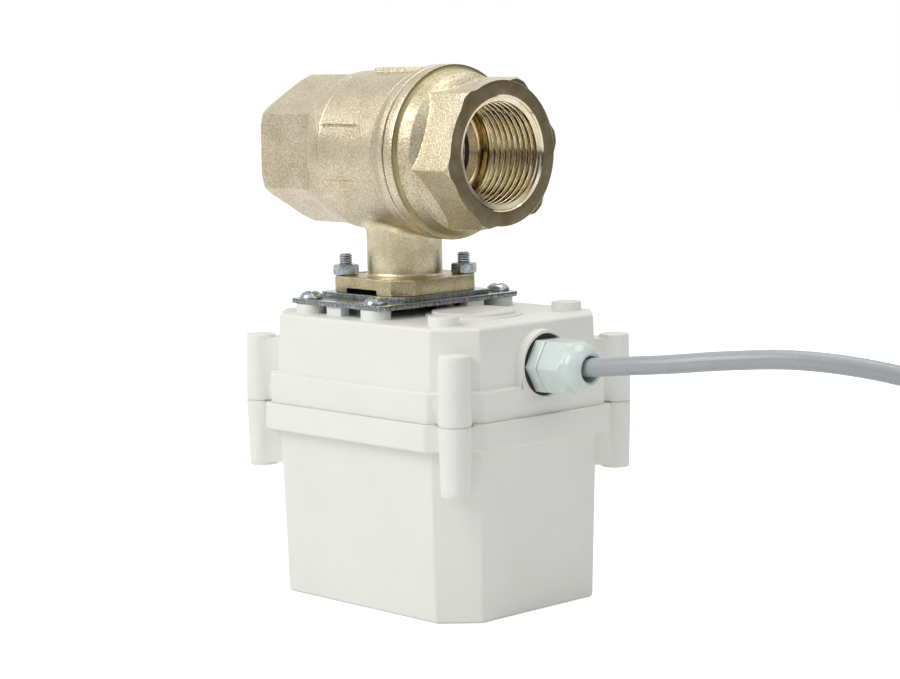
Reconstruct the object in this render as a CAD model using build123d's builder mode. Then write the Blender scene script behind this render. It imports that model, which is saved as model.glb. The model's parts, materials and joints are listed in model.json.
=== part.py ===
"""Motorized ball valve: a two-piece brass ball valve on the mounting plate of an electric actuator.

It stands as photographed, with the deep half of the actuator's case down and the valve on top.
The origin is on the stem's axis in the plane of the case's lowest face, +Z points up and the
valve's bore runs along X, with the screwed-in end cap at +X. All sizes are in millimetres.
"""
import os
from math import acos, atan2, copysign, cos, degrees, pi, radians, sin, sqrt, tan

from build123d import *

os.makedirs("parts", exist_ok=True)

# Clearances that the fits below are made from
slip = 0.05  # radius, a shaft or pin that turns or slides in its hole
snug = 0.02  # radius, a part held tight by the one round it
seat_gap = 0.10  # radius, a plain part in its pocket
hole_gap = 0.25  # radius, a screw in its clearance hole
rest_gap = 0.30  # between moving faces that don't carry each other

# Case, measured on the outside at the parting plane
case_x = 13.1  # centre of the case, from the stem's axis
case_length = 87.4
case_width = 69.0
case_corner = 10.5
parting_z = 58.8
cover_height = 26.95
case_wall = 2.5
cover_roof = 3.0
floor_thickness = 3.0
cover_draft = 1.49
deep_draft = 1.71
edge_round = 1.2
upright_round = 1.5
upper_band_height = 9.0
upper_band_step = 2.3
lower_band_height = 8.0
lower_band_step = 4.0
band_round = 0.8

# Round posts that hold the case screws
post_x = 42.4  # from the centre of the case
post_y = 33.4
post_height = 20.1  # of each half
post_radius = 4.85  # at the parting plane
cover_post_tip = 4.45
deep_post_tip = 4.25
case_screw_radius = 1.75
case_screw_head_radius = 3.0
case_screw_head_height = 2.2
case_screw_recess = 4.6
case_screw_length = 28.0
seal_groove_offset = 0.9  # middle of the groove, outside the case's wall line
seal_width = 1.6
seal_depth = 1.6

# Valve: a G1 female thread, taken at its minor diameter
valve_z = 133.9
valve_length = 86.1
thread_radius = 15.15
thread_depth = 23.0
mouth_radius = 17.06
bore_radius = 12.5
ball_radius = 19.0
cavity_radius = 19.9
body_hex = 40.0
body_radius = 24.35
body_hex_root = -24.5  # where the hexagon meets the round body
body_cone_end = -12.6
panel_groove_left = -11.4
panel_groove_right = 8.3
panel_groove_depth = 0.25
panel_left = -8.7
panel_right = 6.8
panel_half_height = 8.35
panel_depth = 0.35
rim_start = 13.4
rim_full = 17.0
rim_rise = 1.7
seam_x = 19.2
top_pad_width = 9.0
top_pad_rise = 0.85
top_pad_left = -15.5
end_chamfer_face = 21.5  # radius of the turned end face
end_chamfer_length = 1.3

# End cap
cap_hex = 40.5
cap_hex_turn = 70.4  # degrees, where a corner of the tightened hexagon stands
collar_end = 23.2
shoulder_step = 1.55  # below the collar
shoulder_end = 27.9
shoulder_fall = 1.0
shoulder_foot = 30.4
shoulder_foot_radius = 20.0
cap_face_radius = 21.9
cap_chamfer_length = 2.0
cap_sleeve_radius = 21.0
cap_sleeve_start = 10.0
cap_seal_thickness = 1.75
bore_wall_start = 16.2  # where the seat pocket ends and the narrow bore starts
seat_radius = 17.4
seat_front = 11.3
seat_ball_gap = 0.15

# Stem and its seals
stem_radius = 6.0
stem_shoulder_radius = 8.0
stem_shoulder_height = 2.8
stem_square = 8.4
stem_square_depth = 13.4
tongue_width = 5.9
tongue_length = 11.0
slot_depth = 4.5
chamber_floor = 109.6
washer_thickness = 0.95
ring_groove_depth = 1.4
ring_groove_width = 1.9
stem_ring_heights = (105.2, 101.2)

# Neck, flange and plates
flange_top = 96.3
flange_thickness = 4.9
flange_side = 35.1
flange_corner = 4.9
flange_bolt_circle = 36.0
neck_radius = 11.5
neck_foot_round = 1.2
flange_slot_width = 12.2
flange_slot_height = 1.1
flange_slot_reach = 5.0
spacer_thickness = 1.4
spacer_side = 37.0
spacer_round = 1.5
spacer_hole_radius = 9.0
plate_thickness = 1.5
plate_length = 57.9
plate_width = 42.5
plate_round = 3.0
plate_hole_radius = 9.6
bolt_radius = 2.0
bolt_stick_out = 3.3
bolt_head_radius = 3.8
bolt_head_height = 2.3
nut_flats = 7.0
nut_height = 3.2
plate_screw_radius = 1.75
plate_screw_head_radius = 3.65
plate_screw_head_height = 2.3
plate_screw_length = 10.5
screw_inset_x = 6.75  # the plate's screws stand this far inside its edges
screw_inset_y = 3.45
pad_places = ((-1.5, 6.4, -1), (1.5, 6.4, 1))  # middle, length and side of each pad along X
side_pad_places = ((10.2, 7.0, 1), (-10.2, 7.0, -1))  # the same along Y
pad_depth = 3.6
pad_inset = 0.9
free_boss_x = 43.4  # the pair that the plate leaves free
free_boss_y = 25.6
boss_radius = 4.5
inner_boss_radius = 4.0
inner_boss_depth = 8.5

# Round plug in the cover's roof
plug_x = 29.6
plug_radius = 12.5
plug_skirt_radius = 11.0
plug_skirt_depth = 1.9
plug_height = 0.9
plug_seat_radius = 14.5
plug_seat_height = 0.6

# Output shaft and its bushes
shaft_radius = 8.0
shaft_top = 90.7
shaft_step = 76.0
gear_seat_radius = 6.0
gear_seat_end = 67.0
shaft_foot_radius = 5.0
shaft_foot = 46.5
socket_depth = 13.6
bush_radius = 10.0
bush_flange_radius = 12.0
bush_flange_thickness = 1.7
bush_rise = 2.2
shaft_ring_height = 84.3
shaft_ring_groove = 1.1
shaft_ring_width = 1.5
plate_bush_radius = 7.0
plate_bush_rim = 8.2
plate_bush_rim_height = 0.9

# Gear plate, hung on bosses moulded under the roof
gear_plate_z = 60.0
gear_plate_thickness = 1.5
gear_plate_centre = 11.5
gear_plate_length = 71.0
gear_plate_width = 55.0
gear_plate_corner = 3.0
wire_notch_depth = 5.0
wire_notch_width = 9.0
pillar_places = [(-19.7, -22.5), (-19.7, 22.5), (42.7, -22.5), (24.0, 24.0)]
pillar_radius = 3.5
pillar_screw_radius = 1.5
pillar_screw_length = 9.0
pillar_screw_head_radius = 2.7
pillar_screw_head_height = 1.9

# Gears
pressure_angle = radians(20)
gear_addendum = 0.9
gear_dedendum = 1.2
gear_backlash = 0.26
centre_gap = 0.12
output_module = 1.0
train_module = 0.8
output_teeth = 40
wheel_teeth = 36
pinion_teeth = 12
output_gear_bottom = 70.0
output_gear_height = 6.0
output_hub_radius = 9.0
output_hub_top = 80.65
two_wheel_bottom = 66.0
one_wheel_bottom = 62.6
wheel_height = 2.6
gear_hub_radius = 3.6
axle_radius = 2.0
axle_boss_radius = 3.6
axle_boss_drop = 2.5
axle_end_gap = 0.3
two_pinion_top = 76.6
one_pinion_top = 69.2
end_play = 0.35
two_angle = radians(-35)  # from the output shaft to gear two
one_angle = radians(75)  # from gear two to gear one
motor_angle = radians(46)  # from gear one to the motor

# Motor
motor_radius = 12.2
motor_length = 30.0
motor_pilot_radius = 4.5
motor_pilot_height = 1.5
motor_shaft_radius = 1.5
motor_shaft_depth = 28.0
motor_shaft_top = 66.5
motor_pinion_bottom = 62.2
motor_pinion_top = 66.0
motor_screw_spread = 8.0
motor_screw_angle = 120  # degrees
motor_screw_radius = 1.25
motor_screw_length = 5.0
motor_screw_head_radius = 1.9
motor_screw_head_height = 1.4

# Cams, switches and their buttons
cam_base_radius = 8.0
cam_rise = 0.8  # over a quarter turn
cam_thickness = 4.0
cam_full_end = 200  # degrees, where the full radius ends
cam_fall_end = 230
cam_levels = (57.0, 51.0)  # middle of the open cam and of the shut cam
switch_thickness = 6.0
switch_width = 12.8
switch_depth = 8.0
switch_front = -12.2
switch_screw_spread = 3.2
switch_screw_radius = 1.0
switch_screw_head_radius = 1.9
switch_screw_head_height = 1.2
button_radius = 1.2
button_length = 6.0
button_hole_depth = 3.8
cam_screw_radius = 1.25
cam_screw_length = 2.8

# Circuit board and what is on it
board_z = 12.0
board_thickness = 1.6
board_length = 70.0
board_width = 52.0
board_screw_spread_x = 31.5
board_screw_y = 22.0
board_boss_radius = 3.2
board_screw_radius = 1.25
board_screw_length = 8.0
board_screw_head_radius = 2.4
board_screw_head_height = 1.6
terminal_x = 44.0
terminal_y = -5.0
terminal_poles = 3
terminal_pitch = 5.0
terminal_depth = 9.0
terminal_height = 11.5
terminal_screw_radius = 1.5
terminal_screw_length = 5.0
terminal_screw_depth = 0.8
terminal_screw_shift = -2.2  # from the middle of the block
wire_hole_radius = 1.1
wire_hole_shift = 1.5
wire_hole_depth = 5.0
relay_centre = (-11.0, 11.0)
relay_size = (19.0, 15.2, 15.0)
capacitor_centre = (-12.0, -13.0)
capacitor_radius = 5.0
capacitor_height = 16.0

# Cable gland, PG7
gland_y = 0.5
gland_z = 73.2
gland_face = 57.0  # where the washer bears
gland_pad_radius = 10.2
gland_pad_recess = 9.1
gland_washer_radius = 8.8
gland_washer_thickness = 1.6
gland_hex = 15.0
gland_body_hex_length = 4.2
gland_thread_radius = 6.2
gland_thread_length = 7.9
gland_sleeve_radius = 6.0
gland_sleeve_length = 8.0
gland_bore_radius = 3.6
gland_cup_radius = 4.9
gland_cup_length = 6.8
gland_nut_gap = 0.3
gland_nut_hex_length = 9.4
gland_dome_length = 4.1
gland_mouth_radius = 3.75
gland_mouth_wall = 5.0
gland_dome_tip_radius = 4.7
locknut_flats = 17.0
locknut_thickness = 4.5

# Cable
cable_diameter = 5.4
cable_fit = 0.02
jacket_end = 48.5
cable_start = 71.0
core_diameter = 1.5
core_shift = 1.27
free_route = [
    (cable_start, gland_y, gland_z),
    (83.0, 0.5, 73.2),
    (101.0, 1.8, 76.3),
    (121.0, 5.6, 79.9),
    (143.0, 13.9, 81.2),
    (166.0, 28.0, 77.0),
    (181.4, 37.3, 69.5),
    (193.4, 44.5, 56.0),
    (202.1, 49.3, 38.0),
    (209.4, 52.6, 20.5),
    (220.1, 55.3, 8.0),
    (234.0, 54.1, 2.7),
    (246.4, 47.5, 2.7),
]
coil_start_angle = radians(62)  # round the coil, where the cable comes in
coil_outer_radius = 35.0
coil_pitch = 6.0
coil_layer_step = 5.9
coil_turns_in = 2.0
coil_turns_out = 1.75
core_length = 12.0
ferrule_length = 8.0
ferrule_radius = 0.55

# Sizes worked out from the ones above
cover_top = parting_z + cover_height
roof_inside = cover_top - cover_roof
valve_end = valve_length / 2
flange_bottom = flange_top - flange_thickness
spacer_bottom = flange_bottom - spacer_thickness
plate_bottom = spacer_bottom - plate_thickness
ball_bottom = valve_z - ball_radius
shoulder_bottom = chamber_floor + washer_thickness + slip
square_bottom = flange_bottom - stem_square_depth
bolt_offset = flange_bolt_circle / 2 * sqrt(0.5)
bolt_places = [(-bolt_offset, -bolt_offset), (bolt_offset, bolt_offset)]
rim_radius = body_radius + rim_rise
shoulder_radius = rim_radius - shoulder_step
shoulder_end_radius = shoulder_radius - shoulder_fall
screw_x = plate_width / 2 - screw_inset_x
screw_y = plate_length / 2 - screw_inset_y
plate_screw_places = [(sx * screw_x, sy * screw_y) for sx in (-1, 1) for sy in (-1, 1)]
post_places = [(case_x + sx * post_x, sy * post_y) for sx in (-1, 1) for sy in (-1, 1)]
board_places = [(case_x + sx * board_screw_spread_x, sy * board_screw_y) for sx in (-1, 1) for sy in (-1, 1)]
gear_plate_top = gear_plate_z + gear_plate_thickness
output_distance = output_module * (output_teeth + pinion_teeth) / 2 + centre_gap
train_distance = train_module * (wheel_teeth + pinion_teeth) / 2 + centre_gap
two_place = (output_distance * cos(two_angle), output_distance * sin(two_angle))
one_place = (
    two_place[0] + train_distance * cos(one_angle),
    two_place[1] + train_distance * sin(one_angle),
)
motor_place = (
    one_place[0] + train_distance * cos(motor_angle),
    one_place[1] + train_distance * sin(motor_angle),
)
cable_radius = cable_diameter / 2
wall_x = gland_face - case_wall - hole_gap
band_x = case_x + case_length / 2 + upper_band_step


def across_corners(flats):
    """Radius of a hexagon's corners from its width across flats."""
    return flats / sqrt(3)


def on_axis(x, y=0.0, z=0.0):
    """Plane whose normal is +X, with its own x along +Y and its own y along +Z."""
    return Plane(origin=(x, y, z), x_dir=(0, 1, 0), z_dir=(1, 0, 0))


def upright(x=0.0, y=0.0, z=0.0):
    """Plane through the point, with its own x along +X and its own y along +Z."""
    return Plane(origin=(x, y, z), x_dir=(1, 0, 0), z_dir=(0, -1, 0))


def turned_along_x(points, y=0.0, z=valve_z, mode=Mode.ADD):
    """Solid of revolution about the X direction from points of place and radius."""
    with BuildSketch(upright(0, y, z)) as profile:
        with BuildLine():
            Polyline(*points, close=True)
        make_face()
    revolve(profile.sketch, axis=Axis((0, y, z), (1, 0, 0)), mode=mode)


def turned_along_z(points, x=0.0, y=0.0, z=0.0, mode=Mode.ADD):
    """Solid of revolution about the Z direction from points of radius and height."""
    with BuildSketch(upright(x, y, z)) as profile:
        with BuildLine():
            Polyline(*points, close=True)
        make_face()
    revolve(profile.sketch, axis=Axis((x, y, z), (0, 0, 1)), mode=mode)


def disc(radius, bottom, top, x=0.0, y=0.0, mode=Mode.ADD):
    """Upright cylinder between two heights."""
    with BuildSketch(Plane((x, y, bottom))) as profile:
        Circle(radius)
    extrude(profile.sketch, amount=top - bottom, mode=mode)


def rod(radius, start, end, y=gland_y, z=gland_z, mode=Mode.ADD):
    """Cylinder along X between two places."""
    with BuildSketch(on_axis(start, y, z)) as profile:
        Circle(radius)
    extrude(profile.sketch, amount=end - start, mode=mode)


def hex_rod(flats, start, end, turn=0.0, y=gland_y, z=gland_z, mode=Mode.ADD):
    """Hexagon prism along X, with one corner at the given angle from +Y towards +Z."""
    with BuildSketch(on_axis(start, y, z)) as profile:
        RegularPolygon(across_corners(flats), 6, rotation=turn)
    extrude(profile.sketch, amount=end - start, mode=mode)


def screw(x, y, seat, way, head_radius, head_height, shank_radius, length, cross=True):
    """Pan head screw. The head stands on its seat, upwards where way is 1 and downwards where it is -1."""
    shoulder = 0.45
    crown = 0.4
    with BuildSketch(upright(x, y, seat)) as profile:
        with BuildLine():
            Polyline(
                (0, way * head_height),
                (0, -way * length),
                (shank_radius, -way * length),
                (shank_radius, 0),
                (head_radius, 0),
                (head_radius, way * shoulder * head_height),
            )
            ThreePointArc(
                (head_radius, way * shoulder * head_height),
                ((1 + crown) / 2 * head_radius, way * (1 + shoulder) / 2 * head_height * 1.09),
                (crown * head_radius, way * head_height),
            )
            Line((crown * head_radius, way * head_height), (0, way * head_height))
        make_face()
    revolve(profile.sketch, axis=Axis((x, y, seat), (0, 0, 1)))
    if cross:
        recess = head_height / 2
        with Locations((x, y, seat + way * (head_height - recess / 2))):
            Box(1.1 * head_radius, 0.2 * head_radius, recess, mode=Mode.SUBTRACT)
            Box(0.2 * head_radius, 1.1 * head_radius, recess, mode=Mode.SUBTRACT)


def case_outline(grow=0.0):
    """Rectangle with cut corners, grown outwards by the given amount."""
    Rectangle(case_length + 2 * grow, case_width + 2 * grow)
    chamfer(vertices(), length=case_corner + (2 - sqrt(2)) * grow)


def case_plane(z, down=False):
    """Plane at the centre of the case."""
    return Plane(origin=(case_x, 0, z), x_dir=(1, 0, 0), z_dir=(0, 0, -1 if down else 1))


def case_band(grow, bottom, top):
    """Band round the case with softly rounded corners."""
    with BuildSketch(case_plane(bottom)) as profile:
        case_outline(grow)
        fillet(vertices(), radius=3 * band_round)
    extrude(profile.sketch, amount=top - bottom)


def upright_edges(half):
    """Edges that run up the corners of the case."""
    return half.edges().filter_by(lambda edge: abs((edge % 0.5).Z) > 0.9)


def rim_edges(half, height):
    """Outer edges of the flat face at the given height."""
    level = half.faces().filter_by(Axis.Z).filter_by_position(Axis.Z, height - slip, height + slip)
    return level[0].outer_wire().edges()


def case_posts(tip_radius, down):
    """Four tapered posts from the parting plane, each with the web that ties it to the case's corner."""
    way = -1 if down else 1
    for x, y in post_places:
        with BuildSketch(Plane((x, y, parting_z))) as root:
            Circle(post_radius)
        with BuildSketch(Plane((x, y, parting_z + way * post_height))) as tip:
            Circle(tip_radius)
        loft([root.sketch, tip.sketch])
    web_length = 8.0
    for x, y in post_places:
        inward = atan2(copysign(1, -y), copysign(1, case_x - x))
        middle = (x + web_length / 2 * cos(inward), y + web_length / 2 * sin(inward))
        with BuildSketch(Plane((*middle, parting_z))) as web:
            Rectangle(web_length, 2 * tip_radius, rotation=degrees(inward))
        extrude(web.sketch, amount=way * (post_height - 1.0))


def gear_face(teeth, module, turn, bore):
    """Gear outline with involute flanks, one tooth standing at the given angle."""
    pitch_radius = module * teeth / 2
    base_radius = pitch_radius * cos(pressure_angle)
    tip_radius = pitch_radius + gear_addendum * module
    root_radius = pitch_radius - gear_dedendum * module

    def half_angle(radius):
        roll = acos(base_radius / max(radius, base_radius))
        at_pitch = (pi * module / 2 - gear_backlash) / (2 * pitch_radius)
        return at_pitch + tan(pressure_angle) - pressure_angle - tan(roll) + roll

    def point(radius, angle):
        return (radius * cos(angle), radius * sin(angle))

    with BuildLine() as outline:
        for i in range(teeth):
            tooth = turn + 2 * pi * i / teeth
            space = tooth + pi / teeth
            following = tooth + 2 * pi / teeth
            left = [point(r, tooth - half_angle(r)) for r in (root_radius, pitch_radius, tip_radius)]
            right = [point(r, tooth + half_angle(r)) for r in (tip_radius, pitch_radius, root_radius)]
            ThreePointArc(*left)
            ThreePointArc(left[-1], point(tip_radius, tooth), right[0])
            ThreePointArc(*right)
            next_root = point(root_radius, following - half_angle(root_radius))
            ThreePointArc(right[-1], point(root_radius, space), next_root)
    make_face(outline.edges())
    Circle(bore, mode=Mode.SUBTRACT)


def seal_inside(grow):
    """Opening of the seal's ring or groove."""
    with BuildSketch() as opening:
        case_outline(grow)
    add(opening.sketch, mode=Mode.SUBTRACT)


def finish(part, label):
    """Name the piece and write its file."""
    part.part.label = label
    export_step(part.part, f"parts/{label}.step")


# Valve body: hexagon end, round middle with its rim, neck and square flange
with BuildPart() as valve_body:
    hex_rod(body_hex, -valve_end, panel_groove_left, turn=90, y=0, z=valve_z)
    turned_along_x(
        [
            (-valve_end, 0),
            (-valve_end, end_chamfer_face),
            (-valve_end + end_chamfer_length, across_corners(body_hex) + seat_gap),
            (panel_groove_left, across_corners(body_hex) + seat_gap),
            (panel_groove_left, 0),
        ],
        mode=Mode.INTERSECT,
    )
    turned_along_x(
        [
            (body_hex_root, 0),
            (body_hex_root, body_hex / 2 - 0.4),
            (body_cone_end, body_radius),
            (panel_groove_left, body_radius),
            (panel_groove_left, body_radius - panel_groove_depth),
            (panel_groove_right, body_radius - panel_groove_depth),
            (panel_groove_right, body_radius),
            (rim_start, body_radius + 0.1),
            (rim_full, rim_radius),
            (seam_x, rim_radius),
            (seam_x, 0),
        ]
    )
    with BuildSketch(Plane.XY.offset(valve_z)):
        with Locations(((top_pad_left + rim_full) / 2, 0)):
            Rectangle(rim_full - top_pad_left, top_pad_width)
    extrude(amount=body_radius + top_pad_rise)
    disc(neck_radius, flange_top, valve_z - bore_radius)
    with BuildSketch(Plane.XY.offset(flange_bottom)):
        Rectangle(flange_side, flange_side)
        chamfer(vertices(), length=flange_corner)
        with Locations(*bolt_places):
            Circle(bolt_radius + hole_gap, mode=Mode.SUBTRACT)
    extrude(amount=flange_thickness)
    fillet(
        valve_body.edges()
        .filter_by(GeomType.CIRCLE)
        .filter_by_position(Axis.Z, flange_top - slip, flange_top + slip)
        .sort_by(SortBy.RADIUS)[-1],
        radius=neck_foot_round,
    )
    # cast recess under the edge of the flange
    with BuildSketch(upright(0, -flange_side / 2 + flange_slot_reach, flange_bottom)):
        Rectangle(flange_slot_width, flange_slot_height, align=(Align.CENTER, Align.MIN))
    extrude(amount=flange_slot_reach, mode=Mode.SUBTRACT)
    # bare panel on the flank
    with BuildSketch(Plane(origin=(0, -body_radius - 1, valve_z), x_dir=(1, 0, 0), z_dir=(0, 1, 0))):
        with Locations(((panel_left + panel_right) / 2, 0)):
            Rectangle(panel_right - panel_left, 2 * panel_half_height)
    panel_cut = 1 + body_radius - sqrt((body_radius - panel_depth) ** 2 - panel_half_height**2)
    extrude(amount=panel_cut, mode=Mode.SUBTRACT)
    turned_along_x(
        [
            (panel_left, 0),
            (panel_left, body_radius - panel_groove_depth - panel_depth),
            (panel_right, body_radius - panel_groove_depth - panel_depth),
            (panel_right, 0),
        ]
    )
    # inlet thread, waterway, seat pocket, ball cavity and the cap's socket
    turned_along_x(
        [
            (-valve_end, 0),
            (-valve_end, mouth_radius),
            (-valve_end + mouth_radius - thread_radius, thread_radius),
            (-valve_end + thread_depth, thread_radius),
            (-valve_end + thread_depth, bore_radius),
            (-bore_wall_start, bore_radius),
            (-bore_wall_start, seat_radius + seat_gap),
            (-seat_front + 0.6, seat_radius + seat_gap),
            (-seat_front + 0.6, cavity_radius),
            (cap_sleeve_start - cap_seal_thickness, cavity_radius),
            (cap_sleeve_start - cap_seal_thickness, cap_sleeve_radius + seat_gap),
            (seam_x, cap_sleeve_radius + seat_gap),
            (seam_x, 0),
        ],
        mode=Mode.SUBTRACT,
    )
    disc(stem_radius + slip, flange_bottom, chamber_floor, mode=Mode.SUBTRACT)
    disc(stem_shoulder_radius + rest_gap, chamber_floor, valve_z, mode=Mode.SUBTRACT)
finish(valve_body, "valve_body")

# End cap: collar against the body's rim, shoulder, hexagon and female thread
with BuildPart() as end_cap:
    hex_rod(cap_hex, collar_end, valve_end, turn=cap_hex_turn, y=0, z=valve_z)
    turned_along_x(
        [
            (collar_end, 0),
            (collar_end, across_corners(cap_hex) + seat_gap),
            (valve_end - cap_chamfer_length, across_corners(cap_hex) + seat_gap),
            (valve_end, cap_face_radius),
            (valve_end, 0),
        ],
        mode=Mode.INTERSECT,
    )
    turned_along_x(
        [
            (cap_sleeve_start, 0),
            (cap_sleeve_start, cap_sleeve_radius),
            (seam_x, cap_sleeve_radius),
            (seam_x, rim_radius),
            (collar_end, rim_radius),
            (collar_end, shoulder_radius),
            (shoulder_end, shoulder_end_radius),
            (shoulder_foot, shoulder_foot_radius),
            (shoulder_foot, 0),
        ]
    )
    turned_along_x(
        [
            (cap_sleeve_start, 0),
            (cap_sleeve_start, seat_radius + seat_gap),
            (bore_wall_start, seat_radius + seat_gap),
            (bore_wall_start, bore_radius),
            (valve_end - thread_depth, bore_radius),
            (valve_end - thread_depth, thread_radius),
            (valve_end - mouth_radius + thread_radius, thread_radius),
            (valve_end, mouth_radius),
            (valve_end, 0),
        ],
        mode=Mode.SUBTRACT,
    )
finish(end_cap, "end_cap")

# Ring that seals the cap in the body
with BuildPart() as cap_seal:
    with BuildSketch(on_axis(cap_sleeve_start - cap_seal_thickness, 0, valve_z)):
        Circle(cap_sleeve_radius)
        Circle(cavity_radius, mode=Mode.SUBTRACT)
    extrude(amount=cap_seal_thickness)
finish(cap_seal, "cap_seal")

# Ball with its waterway and the slot for the stem's tongue, open at rest
with BuildPart() as ball:
    with Locations((0, 0, valve_z)):
        Sphere(ball_radius)
    rod(bore_radius, -ball_radius, ball_radius, 0, valve_z, mode=Mode.SUBTRACT)
    with Locations((0, 0, ball_bottom)):
        Box(
            tongue_width + 2 * seat_gap,
            2 * ball_radius,
            2 * slot_depth,
            mode=Mode.SUBTRACT,
        )
finish(ball, "ball")

# Seat rings, each with a cone that the ball bears on
for label, way in (("seat_ring_inlet", -1), ("seat_ring_outlet", 1)):
    cone_sum = (ball_radius + seat_ball_gap) * sqrt(2)
    with BuildPart() as seat_ring:
        turned_along_x(
            [
                (way * bore_wall_start, bore_radius),
                (way * (cone_sum - bore_radius), bore_radius),
                (way * seat_front, cone_sum - seat_front),
                (way * seat_front, seat_radius),
                (way * bore_wall_start, seat_radius),
            ]
        )
    finish(seat_ring, label)

# Stem: tongue, shoulder, shank with two ring grooves, square end
with BuildPart() as stem:
    disc(stem_shoulder_radius, shoulder_bottom, shoulder_bottom + stem_shoulder_height)
    disc(stem_radius, flange_bottom, shoulder_bottom)
    with BuildSketch(Plane.XY.offset(square_bottom)):
        Rectangle(stem_square, stem_square)
    extrude(amount=stem_square_depth)
    with BuildSketch(Plane.XY.offset(shoulder_bottom + stem_shoulder_height)):
        Rectangle(tongue_width, tongue_length)
    extrude(amount=ball_bottom + slot_depth - seat_gap - shoulder_bottom - stem_shoulder_height)
    for height in stem_ring_heights:
        with BuildSketch(Plane.XY.offset(height - ring_groove_width / 2)):
            Circle(stem_radius + slip)
            Circle(stem_radius - ring_groove_depth, mode=Mode.SUBTRACT)
        extrude(amount=ring_groove_width, mode=Mode.SUBTRACT)
finish(stem, "stem")

with BuildPart() as stem_thrust_washer:
    with BuildSketch(Plane.XY.offset(chamber_floor)):
        Circle(stem_shoulder_radius)
        Circle(stem_radius + seat_gap, mode=Mode.SUBTRACT)
    extrude(amount=washer_thickness)
finish(stem_thrust_washer, "stem_thrust_washer")


def ring_in_groove(shaft, depth, height):
    """Round ring between a groove's floor and the hole round the shaft."""
    section = (depth + slip) / 2 - cable_fit
    with BuildSketch(upright()) as profile:
        with Locations((shaft - depth + cable_fit + section, height)):
            Circle(section)
    revolve(profile.sketch, axis=Axis.Z)


with BuildPart() as stem_o_rings:
    for height in stem_ring_heights:
        ring_in_groove(stem_radius, ring_groove_depth, height)
finish(stem_o_rings, "stem_o_rings")

# Flange bolts from below, nuts on the flange
with BuildPart() as flange_bolts:
    bolt_length = flange_top + nut_height + bolt_stick_out - plate_bottom
    for x, y in bolt_places:
        screw(x, y, plate_bottom, -1, bolt_head_radius, bolt_head_height, bolt_radius, bolt_length)
finish(flange_bolts, "flange_bolts")

with BuildPart() as flange_nuts:
    with BuildSketch(Plane.XY.offset(flange_top)):
        with Locations(*bolt_places):
            RegularPolygon(across_corners(nut_flats), 6)
            Circle(bolt_radius + slip, mode=Mode.SUBTRACT)
    extrude(amount=nut_height)
finish(flange_nuts, "flange_nuts")

with BuildPart() as spacer_plate:
    with BuildSketch(Plane.XY.offset(spacer_bottom)):
        RectangleRounded(spacer_side, spacer_side, spacer_round)
        Circle(spacer_hole_radius, mode=Mode.SUBTRACT)
        with Locations(*bolt_places):
            Circle(bolt_radius + hole_gap, mode=Mode.SUBTRACT)
    extrude(amount=spacer_thickness)
finish(spacer_plate, "spacer_plate")

with BuildPart() as mounting_plate:
    with BuildSketch(Plane.XY.offset(plate_bottom)):
        RectangleRounded(plate_width, plate_length, plate_round)
        Circle(plate_hole_radius, mode=Mode.SUBTRACT)
        with Locations(*bolt_places):
            Circle(bolt_radius + hole_gap, mode=Mode.SUBTRACT)
        with Locations(*plate_screw_places):
            Circle(plate_screw_radius + hole_gap, mode=Mode.SUBTRACT)
    extrude(amount=plate_thickness)
finish(mounting_plate, "mounting_plate")

with BuildPart() as plate_screws:
    for x, y in plate_screw_places:
        screw(
            x, y, spacer_bottom, 1, plate_screw_head_radius, plate_screw_head_height,
            plate_screw_radius, plate_screw_length,
        )
finish(plate_screws, "plate_screws")

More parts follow.
